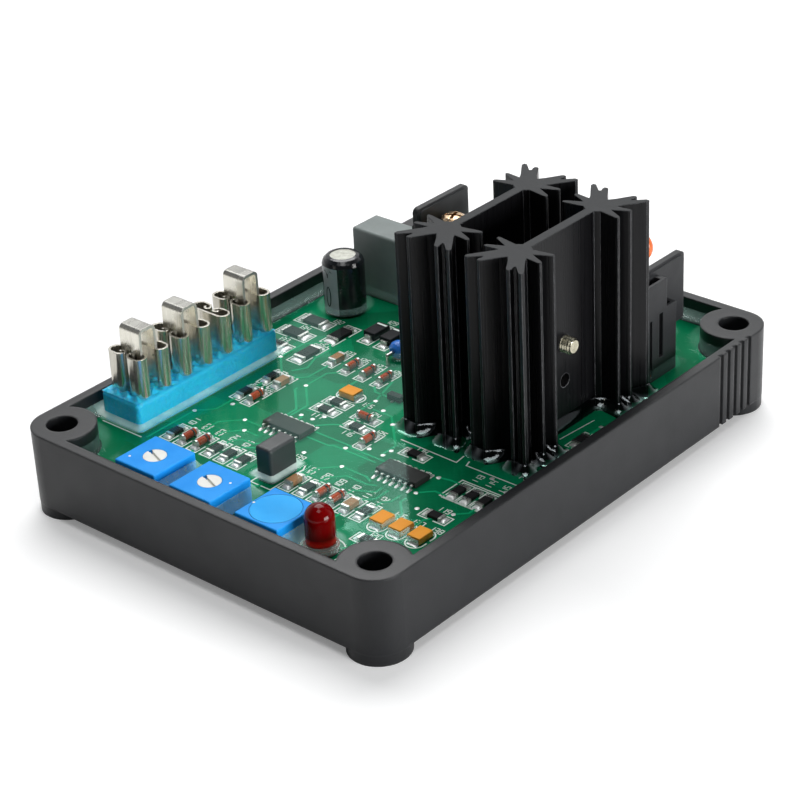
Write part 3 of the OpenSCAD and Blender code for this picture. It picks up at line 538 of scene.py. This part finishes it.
ic_pads = (ic_places[:, None] + ic_offsets).reshape(-1, 2)
solder_parts.append(cushions(np.column_stack([ic_pads, np.full(len(ic_pads), 90.0)]), 0.75, 0.32, 0.24, 5))
solder_pads = mesh_object("solder_pads", *join(solder_parts), solder_bright, closed=False)
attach(solder_pads, "base")

stroke_ends = np.array([[[0, 2], [1, 2]], [[1, 2], [1, 1]], [[1, 1], [1, 0]], [[0, 0], [1, 0]],
                        [[0, 1], [0, 0]], [[0, 2], [0, 1]], [[0, 1], [1, 1]]], float)
digit_strokes = ["012345", "12", "01643", "01623", "5612", "05623", "056432", "012", "0123456", "015623"]


def number_strokes(number, x, y, turn_by, tall=1.2):
    """Straight strokes (count, 2, 2) of a plain number, seven places to a digit."""
    strokes = [stroke_ends[int(place)] * tall / 2 + [0.78 * tall * step, 0]
               for step, digit in enumerate(str(number)) for place in digit_strokes[int(digit)]]
    flat = np.array(strokes).reshape(-1, 2) - [0.39 * tall * len(str(number)), tall / 2]
    return turned(np.array([[x, y, turn_by]], float), flat).reshape(-1, 2, 2)


number_shift = [-0.1, 4.5, 0.0]
numbered = np.concatenate([front_left + number_shift, front_right + number_shift, [
    [27.8, -14.3, 90], [30.6, -14.3, 90], [33.4, -14.3, 90], [0.3, -16.0, 0], [-8.2, -14.5, 0],
    [14.4, -12.9, 0], [29.8, -25.2, 0], [25.8, -37.6, 0], [-24.3, -12.6, 0], [-21.2, -13.0, 0],
    [-19.0, 5.9, 0], [-0.2, -8.4, 0], [4.9, -12.6, 0], [-14.9, 5.4, 0], [-10.95, 5.4, 0], [-7.0, 5.4, 0],
    [-20.4, 19.6, 0], [-16.5, 19.6, 0], [-25.0, 5.6, 0], [-29.0, 14.0, 0], [-32.5, 2.9, 0], [-32.5, 8.5, 0],
    [-3.4, -6.6, 0], [24.9, -30.6, 0], [28.8, -30.6, 0], [32.7, -30.6, 0], [-0.9, -26.8, 0],
    [19.4, -18.2, 0], [-6.6, -18.0, 0], [33.9, -9.6, 0]]])
first_number = 101
strokes = np.concatenate([number_strokes(first_number + count, *spot) for count, spot in enumerate(numbered)])
legend_lines = [
    [[9.0, -12.1], [21.5, -12.4], [21.2, -10.0]], [[23.1, -10.9], [23.5, -12.2], [34.2, -12.2]],
    [[30.7, 3.9], [31.5, 12.6]], [[26.0, -22.1], [34.6, -22.1], [34.6, -16.2], [26.0, -16.2], [26.0, -22.2]],
    [[1.8, -28.3], [2.4, -29.4], [2.4, -37.5], [-2.1, -37.5], [-2.1, -29.4], [-1.5, -28.3]],
    [[-12.6, -24.4], [-12.6, -19.4]], [[13.4, -24.7], [13.4, -19.7]],
    [[-37.5, -38.1], [-27.7, -38.1]]]
turn = np.linspace(0, 2 * np.pi, 49)
lamp_place = np.array([21.6, -45.8])
lamp_ring = 3.8
legend_lines.append(lamp_place + lamp_ring * np.column_stack([np.cos(turn), np.sin(turn)]))
stroke_width = 0.19
legend_parts = bracket_parts + [ribbons(strokes, stroke_width, legend_low, legend_high)]
legend_parts += [ribbons([line], legend_width, legend_low, legend_high) for line in legend_lines]
legend_white = moulded("legend_white", paint(232, 240, 234), paint(214, 226, 218), paint(236, 242, 238), 0.5,
                       radius=0.00002, Specular_IOR_Level=0.1)
board_legend = mesh_object("board_legend", *join(legend_parts), legend_white, smooth=False)
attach(board_legend, "base")

chip_black = moulded("chip_black", paint(44, 43, 44), paint(34, 33, 35), paint(84, 84, 86), 0.3,
                     radius=0.00008, Specular_IOR_Level=0.05)
chip_tan = moulded("chip_tan", paint(176, 136, 98), paint(156, 116, 82), paint(196, 160, 124), 0.45,
                   radius=0.00008, Specular_IOR_Level=0.05)
chip_tin = bright_metal("chip_tin", paint(216, 217, 212), paint(170, 172, 168), 0.3, (1500, 1500, 1500))
dress(chip_black, "chip_resistors")
dress(chip_tan, "chip_capacitors")
dress(chip_tin, "chip_ends", "heat_sink_pins", "ic_leads", "lead_wires")


# Diodes. Glass tubes with red-brown fill and a dark ring at one end, and two black moulded
# diodes whose end is marked by a pale printed bar.
glass_red = moulded("glass_red", paint(186, 84, 46), paint(140, 56, 34), paint(206, 124, 90), 0.35,
                    radius=0.00005, Specular_IOR_Level=0.15)
dress(glass_red, "glass_diodes")


def tube_bands(places, lift, start, stop, radius, sides=24):
    """Rings on bars lying along each place's direction: a flat section swept round the bar."""
    angle = np.linspace(0, 2 * np.pi, sides + 1)
    along_bar = np.array([start, start, stop, stop])
    out = np.array([radius - 0.05, radius, radius, radius - 0.05])
    along_grid = np.repeat(along_bar[:, None], sides + 1, axis=1)
    across_grid = out[:, None] * np.cos(angle)
    flat = turned(places, np.stack([along_grid.ravel(), across_grid.ravel()], axis=1))
    rise = (lift + out[:, None] * np.sin(angle)).ravel()
    points = np.concatenate([flat, np.broadcast_to(rise[None, :, None], flat.shape[:2] + (1,))], axis=2)
    return points.reshape(-1, 3), grid_quads(4, sides + 1, len(places))


ring_black = moulded("ring_black", paint(30, 28, 28), paint(22, 20, 20), paint(52, 50, 50), 0.3,
                     radius=0.00002)
diode_axis = board_top + 0.7
ring_parts = tube_bands(glass_diodes, diode_axis, 0.55, 0.95, 0.67)
diode_rings = mesh_object("diode_rings", *ring_parts, ring_black)
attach(diode_rings, "base")
diode_black = moulded("diode_black", paint(40, 40, 43), paint(32, 32, 35), paint(70, 70, 74), 0.4,
                      Specular_IOR_Level=0.1)
dress(diode_black, "moulded_diodes")
diode_bar = turned(power_diodes, np.array([[1.55, -1.12], [1.55, 1.12]]))
bar_parts = ribbons(diode_bar, 0.5, board_top + 1.4, board_top + 1.515)
diode_marks = mesh_object("diode_marks", *bar_parts, legend_white, smooth=False)
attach(diode_marks, "base")


# Tantalum capacitors. Orange moulded blocks with drafted sides, soldered to the board by tinned
# tabs that are folded under either end.
tantalum_orange = moulded("tantalum_orange", paint(250, 168, 44), paint(238, 148, 30), paint(252, 200, 110),
                          0.45, Specular_IOR_Level=0.2)
dress(tantalum_orange, "tantalum_capacitors")


# Integrated circuits. Two bodies moulded in matt grey-black plastic round fourteen leads, with a
# round mark at lead one.
ic_grey = moulded("ic_grey", paint(54, 55, 54), paint(46, 47, 46), paint(64, 65, 64), 0.5, fineness=6000.0,
                  depth=0.1, radius=0.0001, Specular_IOR_Level=0.1)
dress(ic_grey, "ic_bodies")
ic_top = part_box("ic_bodies")[1][2] * 1000.0
lead_one_shift = [-3.5, -1.1]


def dot_over(top, height):
    """Level of a dot: the top plus the height times 1 - share^6 of the radius."""
    return lambda ring: top + height * (1 - ring ** 6)


dot_parts = domes(ic_places + lead_one_shift, 0.42, dot_over(ic_top, 0.012))
ic_dots = mesh_object("ic_dots", *dot_parts, ring_black, closed=False)
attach(ic_dots, "base")


# Heat sinks. Two lengths of black anodised star-finned extrusion stand on the board; the drawn
# faces are glossy with upright streaks, the sawn tops are greyer and dull, and the edges carry a
# painted near-white highlight.
sink_black, sink_tree = shader_of("sink_black", paint(10, 10, 12), 0.3, Specular_IOR_Level=0.22)
sink_drawn = streaks(sink_tree, (3200.0, 3200.0, 24.0))
sink_saw = streaks(sink_tree, (120.0, 6500.0, 120.0))
sink_edges = effect(sink_tree, edge_group, Radius=0.00022)
sink_place = add_node(sink_tree, "TexCoord").outputs["Object"]
sink_height = add_node(sink_tree, "SeparateXYZ", {"Vector": sink_place}).outputs["Z"]
sink_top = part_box("heat_sink_inner")[1][2]
sink_sawn = combined(sink_tree, "GREATER_THAN", sink_height, sink_top - 0.00005)
sink_side = blend(sink_tree, sink_drawn, paint(7, 7, 9), paint(15, 15, 17))
# Painted highlight: the edges of the fins are painted near white as a glint.
sink_painted_edge_glint = blend(sink_tree, sink_edges["Wear and Highlight"], sink_side, paint(170, 172, 176))
sink_cut = blend(sink_tree, sink_saw, paint(28, 30, 32), paint(44, 46, 48))
sink_gloss = add_node(sink_tree, "Mix", {0: sink_sawn, 2: scaled(sink_tree, sink_drawn, 0.22, 0.42), 3: 0.55})
sink_bump = add_node(sink_tree, "Bump", {"Height": sink_drawn, "Strength": 0.12,
                                         "Normal": sink_edges["Normal"], "Distance": 0.0002})
feed(sink_tree, Base_Color=blend(sink_tree, sink_sawn, sink_painted_edge_glint, sink_cut),
     Roughness=sink_gloss.outputs[0], Normal=sink_bump.outputs["Normal"])
dress(sink_black, "heat_sink_inner", "heat_sink_outer")


# Power devices. Black bodies moulded on plated metal tabs, each screwed through the web of its
# heat sink and soldered to the board by three legs.
device_black = moulded("device_black", paint(34, 34, 36), paint(28, 28, 30), paint(60, 60, 63), 0.4)
tab_nickel = bright_metal("tab_nickel", paint(186, 186, 182), paint(150, 150, 147), 0.34, (80, 80, 2200))
zinc_cream = bright_metal("zinc_cream", paint(222, 218, 196), paint(186, 180, 156), 0.26, (1600, 1600, 1600))
dress(device_black, "power_device_bodies")
dress(tab_nickel, "power_device_tabs")
dress(zinc_cream, "device_screws")


# Jumpers. A cyan moulded block holds a row of rolled sheet receptacles, sealed in with lumps of the
# same plastic, and three satin nickel clips join neighbouring ones; their tops carry a painted
# shade that darkens them, and their cut edges are matt.
block_cyan = moulded("block_cyan", paint(52, 201, 240), paint(38, 189, 232), paint(140, 226, 246), 0.42,
                     fineness=1300.0, depth=0.9, Specular_IOR_Level=0.3, Subsurface_Weight=0.7,
                     Subsurface_Scale=0.004)
dress(block_cyan, "jumper_block")
block_low, block_high = np.array(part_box("jumper_block")) * 1000.0
seal_inset = 0.15
first_receptacle = -34.3
receptacle_pitch = 5.08
seal_x, seal_y = np.meshgrid(np.linspace(block_low[0] + seal_inset, block_high[0] - seal_inset, 61),
                             np.linspace(block_low[1] + seal_inset, block_high[1] - seal_inset, 221))
seal_across = (seal_x - seal_x.mean()) / np.ptp(seal_x) * 2
seal_along = (seal_y - seal_y.mean()) / np.ptp(seal_y) * 2
# Lumps are two crossed waves that bend each other, and they are highest between the receptacles.
seal_lumps = (0.5 + 0.25 * np.sin(2.3 * seal_x + 1.6 * np.sin(1.9 * seal_y))
              + 0.25 * np.sin(3.1 * seal_y + 1.4 * np.sin(2.7 * seal_x)))
seal_between = 1 - np.cos(np.pi * (seal_y - first_receptacle) / receptacle_pitch) ** 2
seal_fade = (1 - np.abs(seal_across) ** 6) * (1 - np.abs(seal_along) ** 24)
seal_rise = seal_fade * (0.55 * seal_lumps ** 2 + 0.35 * seal_between * seal_lumps)
seal_points = np.stack([seal_x, seal_y, block_high[2] - 0.02 + seal_rise], axis=-1)
block_seal = mesh_object("block_seal", seal_points, grid_quads(221, 61), block_cyan, closed=False)
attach(block_seal, "base")

rolled_tin = bright_metal("rolled_tin", paint(236, 232, 220), paint(190, 186, 174), 0.18, (1800, 1800, 60),
                          depth=0.06, metallic=0.92)
clip_nickel = bright_metal("clip_nickel", paint(248, 245, 233), paint(236, 233, 220), 0.25, (420, 60, 60),
                           depth=0.0)
clip_tree = clip_nickel.node_tree
clip_plain = clip_tree.nodes["Principled BSDF"].inputs["Base Color"].links[0].from_socket
clip_normal = add_node(clip_tree, "NewGeometry").outputs["Normal"]
clip_facing = add_node(clip_tree, "SeparateXYZ", {"Vector": clip_normal}).outputs
# Painted shade: faces of the clips that look upward are made darker, the more so the higher their normal
# points.
clip_top_shade_share = scaled(clip_tree, clip_facing["Z"], 0.0, 1.0, 0.3, 0.9)
clip_aside = combined(clip_tree, "ABSOLUTE", clip_facing["X"])
clip_cut = combined(clip_tree, "GREATER_THAN", clip_aside, 0.7)
clip_painted_top_shade = blend(clip_tree, clip_top_shade_share, clip_plain, paint(166, 165, 159))
feed(clip_tree, Base_Color=blend(clip_tree, clip_cut, clip_painted_top_shade, paint(184, 182, 174)),
     Metallic=scaled(clip_tree, clip_cut, 1.0, 0.25))
dress(rolled_tin, "receptacles")
dress(clip_nickel, "jumper_clip_front", "jumper_clip_middle", "jumper_clip_rear")


# Trimmers. Three square housings moulded in blue plastic and soldered to the board: two with a
# white slotted rotor that turns, one closed by a round cover; a white dot marks the track's end.
housing_blue = moulded("housing_blue", paint(26, 156, 246), paint(20, 144, 236), paint(110, 196, 252), 0.45,
                       Specular_IOR_Level=0.15)
cover_blue = moulded("cover_blue", paint(32, 178, 254), paint(26, 168, 248), paint(120, 208, 254), 0.4,
                     Specular_IOR_Level=0.15)
rotor_white = moulded("rotor_white", paint(236, 236, 230), paint(222, 222, 216), paint(244, 244, 240), 0.4,
                      radius=0.0001)
dress(housing_blue, "trimmer_left_body", "trimmer_middle_body", "trimmer_right_body")
dress(cover_blue, "trimmer_cover")
dress(rotor_white, "trimmer_left_rotor", "trimmer_middle_rotor")
trimmer_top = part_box("trimmer_left_body")[1][2] * 1000.0
dot_spots = np.array([[-18.2, -49.2], [1.5, -45.4], [8.75, -47.4]])
dot_parts = domes(dot_spots, 0.24, dot_over(trimmer_top - 0.002, 0.014))
trimmer_dots = mesh_object("trimmer_dots", *dot_parts, rotor_white, closed=False)
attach(trimmer_dots, "base")


# Indicator lamp. A five millimetre lamp cast in red resin; a painted bright band low on the body
# stands in for the light that enters the dome and gathers above the flange.
lamp_red, lamp_tree = shader_of("lamp_red", paint(112, 3, 5), 0.07, Transmission_Weight=0.15, IOR=1.4,
                                Specular_IOR_Level=0.25)
lamp_cloud = effect(lamp_tree, grain_group)["Cloud"]
lamp_point = add_node(lamp_tree, "TexCoord").outputs["Object"]
lamp_height = add_node(lamp_tree, "SeparateXYZ", {"Vector": lamp_point}).outputs["Z"]
lamp_foot = board_top * 0.001
lamp_rise = scaled(lamp_tree, lamp_height, 0.0, 1.0, lamp_foot + 0.0014, lamp_foot + 0.0054)
# Painted glow: a bright red band is painted low on the body, just above the flange.
lamp_painted_glow_band = ramp(lamp_tree, lamp_rise, [(0.0, paint(118, 3, 5)), (0.16, paint(255, 30, 24)),
                                        (0.26, paint(250, 20, 16)), (0.42, paint(112, 3, 5))])
lamp_shade = scaled(lamp_tree, lamp_cloud, 0.0, 0.3)
feed(lamp_tree, Base_Color=blend(lamp_tree, lamp_shade, lamp_painted_glow_band, paint(96, 2, 4)),
     Roughness=scaled(lamp_tree, lamp_cloud, 0.05, 0.1))
dress(lamp_red, "indicator_lamp")


# Electrolytic capacitor. A drawn aluminium can in a shrunk black sleeve, still wet with resin,
# which carries a pale stripe with an oval and a chevron along the negative side.
can_bare = bright_metal("can_bare", paint(186, 187, 178), paint(156, 156, 147), 0.45, (1200, 1200, 1200),
                        metallic=0.7)
sleeve_black = moulded("sleeve_black", paint(34, 36, 39), paint(28, 30, 33), paint(84, 87, 92), 0.15,
                       fineness=700.0, depth=0.3)
dress(can_bare, "electrolytic_can")
dress(sleeve_black, "electrolytic_sleeve")
can_place = np.array([-31.2, 18.5])
sleeve_radius = 4.0


def sleeve_patch(middle, half_angle, low, high, radius):
    """Patch of a cylinder round the can, between two angles and two heights."""
    angle, level = np.meshgrid(np.radians(np.linspace(middle - half_angle, middle + half_angle, 17)),
                               np.linspace(low, high, 9))
    points = np.stack([can_place[0] + radius * np.cos(angle), can_place[1] + radius * np.sin(angle), level],
                      axis=-1)
    return points.reshape(-1, 3), grid_quads(9, 17)


stripe_grey = moulded("stripe_grey", paint(168, 172, 174), paint(154, 158, 160), paint(186, 190, 192), 0.22,
                      radius=0.00002)
stripe_parts = sleeve_patch(-92, 27, board_top + 0.7, board_top + 10.25, sleeve_radius + 0.012)
can_stripe = mesh_object("can_stripe", *stripe_parts, stripe_grey, closed=False)
mark_top = sleeve_radius + 0.025
turn = np.linspace(0, 2 * np.pi, 41)
oval = np.column_stack([0.52 * np.cos(turn), board_top + 4.3 + 1.95 * np.sin(turn)])
chevron = np.array([[-0.85, board_top + 9.6], [0.0, board_top + 8.5], [0.85, board_top + 9.6]])
mark_points, mark_faces = join([ribbons([oval], 0.26, sleeve_radius, mark_top),
                                ribbons([chevron], 0.5, sleeve_radius, mark_top)])
mark_angle = np.radians(-96) + mark_points[:, 0] / sleeve_radius
mark_points = np.column_stack([can_place[0] + mark_points[:, 2] * np.cos(mark_angle),
                               can_place[1] + mark_points[:, 2] * np.sin(mark_angle), mark_points[:, 1]])
stripe_marks = mesh_object("stripe_marks", mark_points, mark_faces, ring_black, smooth=False)
for piece in (can_stripe, stripe_marks):
    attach(piece, "base")


# Film capacitors. Wound film cast into two moulded boxes, a large pale grey one and a small slate
# one; both stand on small feet and are soldered to the board.
film_grey = moulded("film_grey", paint(134, 143, 141), paint(122, 131, 129), paint(170, 176, 174), 0.38,
                    Specular_IOR_Level=0.3)
film_slate = moulded("film_slate", paint(47, 52, 54), paint(40, 45, 47), paint(136, 140, 140), 0.42,
                     radius=0.0005)
dress(film_grey, "film_capacitor_large")
dress(film_slate, "film_capacitor_small")


# Axial resistor and dipped capacitor. A blue lacquered body with painted colour rings, and an
# orange bead behind the heat sinks; both are soldered to the board by their wire leads.
lacquer_blue = moulded("lacquer_blue", paint(52, 128, 222), paint(40, 112, 206), paint(100, 164, 238), 0.22)
dipped_orange = moulded("dipped_orange", paint(218, 106, 41), paint(202, 92, 32), paint(236, 142, 86), 0.25)
dress(lacquer_blue, "axial_resistor")
dress(dipped_orange, "dipped_capacitor")
axial_place = np.array([[-10.4, 12.9, 90.0]])
axial_height = board_top + 1.75
for label, shade, start, stop, radius in (
        ("brown", (92, 48, 26), -3.75, -3.15, 1.72), ("black", (26, 24, 24), -1.6, -1.0, 1.42),
        ("red", (180, 30, 24), -0.3, 0.3, 1.42), ("gold", (176, 132, 60), 3.1, 3.7, 1.72)):
    ring_paint = moulded("ring_" + label, paint(*shade), paint(*np.multiply(shade, 0.85)),
                         paint(*np.add(shade, 20)), 0.3, radius=0.00002)
    ring_parts = tube_bands(axial_place, axial_height, start, stop, radius, 32)
    axial_ring = mesh_object("axial_ring_" + label, *ring_parts, ring_paint)
    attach(axial_ring, "base")


# Terminal strip. A dark grey barrier moulding with plated contact plates, lifted wire clamps and
# brass-coloured cross-recessed screws.
strip_grey = moulded("strip_grey", paint(38, 39, 41), paint(33, 34, 36), paint(70, 71, 74), 0.42,
                     Specular_IOR_Level=0.3)
plate_steel = bright_metal("plate_steel", paint(212, 196, 150), paint(176, 160, 116), 0.3, (60, 2200, 60))
screw_brass = bright_metal("screw_brass", paint(226, 204, 172), paint(190, 150, 112), 0.22,
                           (1500, 1500, 1500))
dress(strip_grey, "terminal_strip")
dress(plate_steel, "terminal_plates", "wire_clamps")
dress(screw_brass, "terminal_screws")


# Clear resin. The board is flooded with a clear coat about a millimetre deep, which wets every wall,
# post and component that stands out of it and climbs it in a fillet. Most fillets carry a painted
# whitish sheen, and round the heat sinks the coat is a painted dark pool, a grey mirror over the
# board that stands in for the fins' reflection and shade.
resin_step = 0.33
resin_half_x = 39.3
resin_half_y = 52.3
columns = int(2 * resin_half_x / resin_step)
rows = int(2 * resin_half_y / resin_step)
resin_x, resin_y = np.meshgrid(np.linspace(-resin_half_x, resin_half_x, columns),
                               np.linspace(-resin_half_y, resin_half_y, rows))


def box_gap(middle_x, middle_y, half_x, half_y):
    """Distance outside an upright box, negative inside it."""
    past_x = np.abs(resin_x - middle_x) - half_x
    past_y = np.abs(resin_y - middle_y) - half_y
    return np.hypot(np.maximum(past_x, 0), np.maximum(past_y, 0)) + np.minimum(np.maximum(past_x, past_y), 0)


def round_gap(middle_x, middle_y, radius):
    """Distance outside an upright cylinder, negative inside it."""
    return np.hypot(resin_x - middle_x, resin_y - middle_y) - radius


def bar_gap(from_x, from_y, to_x, to_y, half):
    """Distance outside a bar with round ends from one point to the other."""
    run_x = to_x - from_x
    run_y = to_y - from_y
    share = ((resin_x - from_x) * run_x + (resin_y - from_y) * run_y) / (run_x ** 2 + run_y ** 2)
    share = np.clip(share, 0, 1)
    return np.hypot(resin_x - from_x - share * run_x, resin_y - from_y - share * run_y) - half


# Each bank is a gap, the height that the resin climbs, its reach and the strength of its painted whitish
# sheen.
banks = [(-box_gap(0, 0, 39.15, 52.15), 1.6, 1.3, 0.3)]
banks += [(round_gap(post_x, post_y, 6.0), 1.6, 1.3, 0.1)
          for post_x in (-35.6, 35.6) for post_y in (-48.6, 48.6)]
banks += [(box_gap(trimmer_x, -46.6, 4.75, 4.75), 2.3, 1.0, 0.35) for trimmer_x in (-14.86, -1.67, 12.94)]
banks += [
    # jumper block, small film capacitor, large film capacitor
    (box_gap(-33.25, -20, 4.65, 17.4), 0.45, 1.1, 0.6), (box_gap(0.15, -33.25, 1.75, 3.15), 0.6, 0.7, 0.9),
    (box_gap(-28.5, 28.9, 6.5, 3.5), 1.0, 0.8, 0.1),
    # terminal strip, axial resistor
    (box_gap(4.95, 32.0, 26.65, 4.4), 1.2, 1.0, 0.1), (box_gap(-10.4, 12.9, 1.6, 4.6), 0.8, 0.8, 0.1),
    # electrolytic capacitor, indicator lamp
    (round_gap(*can_place, sleeve_radius), 0.9, 0.8, 0.2), (round_gap(*lamp_place, 2.95), 0.5, 0.8, 0.3)]
solid_gaps = [bank[0] for bank in banks]
sink_middle_y = 7.0
star_shift = 10.5
web_half = 0.85
star_core = 2.3
fin_blend = 0.7
# Each fin of a quarter star is the place of its tip from the star's middle, and half its thickness.
fins = np.array([[5.6, -1.7, 0.5], [5.6, 1.5, 0.5], [3.2, 4.8, 1.3], [5.5, 6.3, 0.6], [2.9, 6.3, 0.6],
                 [1.6, 4.1, 0.6]])
sink_gap = np.full_like(resin_x, 99.0)
for sink_x in (13.9, 28.75):
    fin_gaps = [box_gap(sink_x, sink_middle_y, web_half, star_shift)]
    for end in (-1, 1):
        star_y = sink_middle_y + end * star_shift
        fin_gaps.append(round_gap(sink_x, star_y, star_core))
        fin_gaps += [bar_gap(sink_x, star_y, sink_x + side * tip_x, star_y + end * tip_y, half)
                     for side in (-1, 1) for tip_x, tip_y, half in fins]
    nearness = np.sum(np.exp(-np.maximum(fin_gaps, 0) / fin_blend), axis=0)
    soft_gap = np.maximum(-fin_blend * np.log(nearness + 1e-12), 0)
    sink_gap = np.minimum(sink_gap, soft_gap)
    banks.append((soft_gap, 1.9, 0.95, 0.0))
    solid_gaps.append(np.min(fin_gaps, axis=0))
# The banks add up as cubes, so that the highest one leads; calm marks the steep part of each bank,
# and the pool field marks the painted dark sheet close to a heat sink, which stands in for the fins'
# reflection and shade.
coat_depth = 1.2
level_slope = 0.055
climb = np.zeros_like(resin_x)
fillet_sheen = np.zeros_like(resin_x)
calm = np.zeros_like(resin_x)
for bank_gap, rise, reach, sheen_strength in banks:
    outside = np.maximum(bank_gap, 0)
    climb += (rise * np.exp(-outside / reach)) ** 3
    # Painted sheen: a whitish sheen is painted on each fillet, fading with distance from its bank.
    fillet_sheen = np.maximum(fillet_sheen, sheen_strength * np.exp(-(outside / (1.5 * reach)) ** 4))
    steep_reach = reach * np.log(rise / reach / level_slope)
    calm = np.maximum(calm, np.minimum(1, 2.5 * np.exp(-(outside / (1.05 * steep_reach)) ** 8)))
# Painted shade: close to each heat sink the coat is made a nearly opaque dark mirror.
dark_pool_paint = 1 / (1 + np.exp((sink_gap - 1.3) / 0.12))
resin_points = np.stack([resin_x, resin_y, board_top + coat_depth + np.cbrt(climb)], axis=-1)
quads = grid_quads(rows, columns)
hidden_depth = 0.35
shown = np.max(np.min(solid_gaps, axis=0).ravel()[quads], axis=1) > -hidden_depth

clear_resin, resin_tree = shader_of("clear_resin", (1, 1, 1, 1), 0.04, 1.0)
resin_fillet_sheen, resin_calm, resin_dark_pool_paint = [add_node(resin_tree, "Attribute", attribute_name=label).outputs["Fac"]
                                      for label in ("fillet_sheen", "calm", "dark_pool_paint")]
resin_place = add_node(resin_tree, "TexCoord").outputs["Object"]
resin_wave = add_node(resin_tree, "TexNoise", {"Vector": resin_place, "Scale": 420.0, "Detail": 3.0})
resin_wisps = scaled(resin_tree, resin_wave.outputs["Fac"], 0.4, 1.3)
# The painted whitish sheen, broken into wisps by a noise.
resin_painted_sheen = combined(resin_tree, "MULTIPLY", resin_fillet_sheen, resin_wisps)
resin_fresnel = add_node(resin_tree, "Fresnel", {"IOR": 1.45}).outputs["Fac"]
resin_level = scaled(resin_tree, resin_calm, 1.0, 0.0)
resin_sheen = combined(resin_tree, "MULTIPLY", resin_fresnel, resin_level)
# In the dark pool the coat covers most of the board beneath it: a painted dark sheet.
resin_painted_dark = combined(resin_tree, "MULTIPLY", resin_dark_pool_paint, 0.7)
resin_bright = combined(resin_tree, "MAXIMUM", resin_painted_sheen, resin_sheen)
resin_cover = combined(resin_tree, "MAXIMUM", resin_bright, resin_painted_dark)
resin_back = add_node(resin_tree, "NewGeometry").outputs["Backfacing"]
resin_above = scaled(resin_tree, resin_back, 1.0, 0.0)
# Painted sheen colour: the coat is whitish where the sheen is painted, elsewhere a pale green mirror tint.
resin_tint_and_sheen = blend(resin_tree, resin_painted_sheen, paint(196, 255, 240), paint(226, 234, 228))
feed(resin_tree, Alpha=combined(resin_tree, "MULTIPLY", resin_cover, resin_above),
     Metallic=scaled(resin_tree, resin_fillet_sheen, 1.0, 0.0, 0.0, 0.04),
     Base_Color=blend(resin_tree, resin_dark_pool_paint, resin_tint_and_sheen, paint(84, 87, 89)),
     Roughness=scaled(resin_tree, resin_painted_sheen, 0.1, 0.4))
resin_coat = mesh_object("resin_coat", resin_points, quads[shown], clear_resin, closed=False)
for label, field in (("fillet_sheen", fillet_sheen), ("calm", calm), ("dark_pool_paint", dark_pool_paint)):
    layer = resin_coat.data.attributes.new(label, "FLOAT", "POINT")
    layer.data.foreach_set("value", field.ravel().astype(np.float32))
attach(resin_coat, "base")
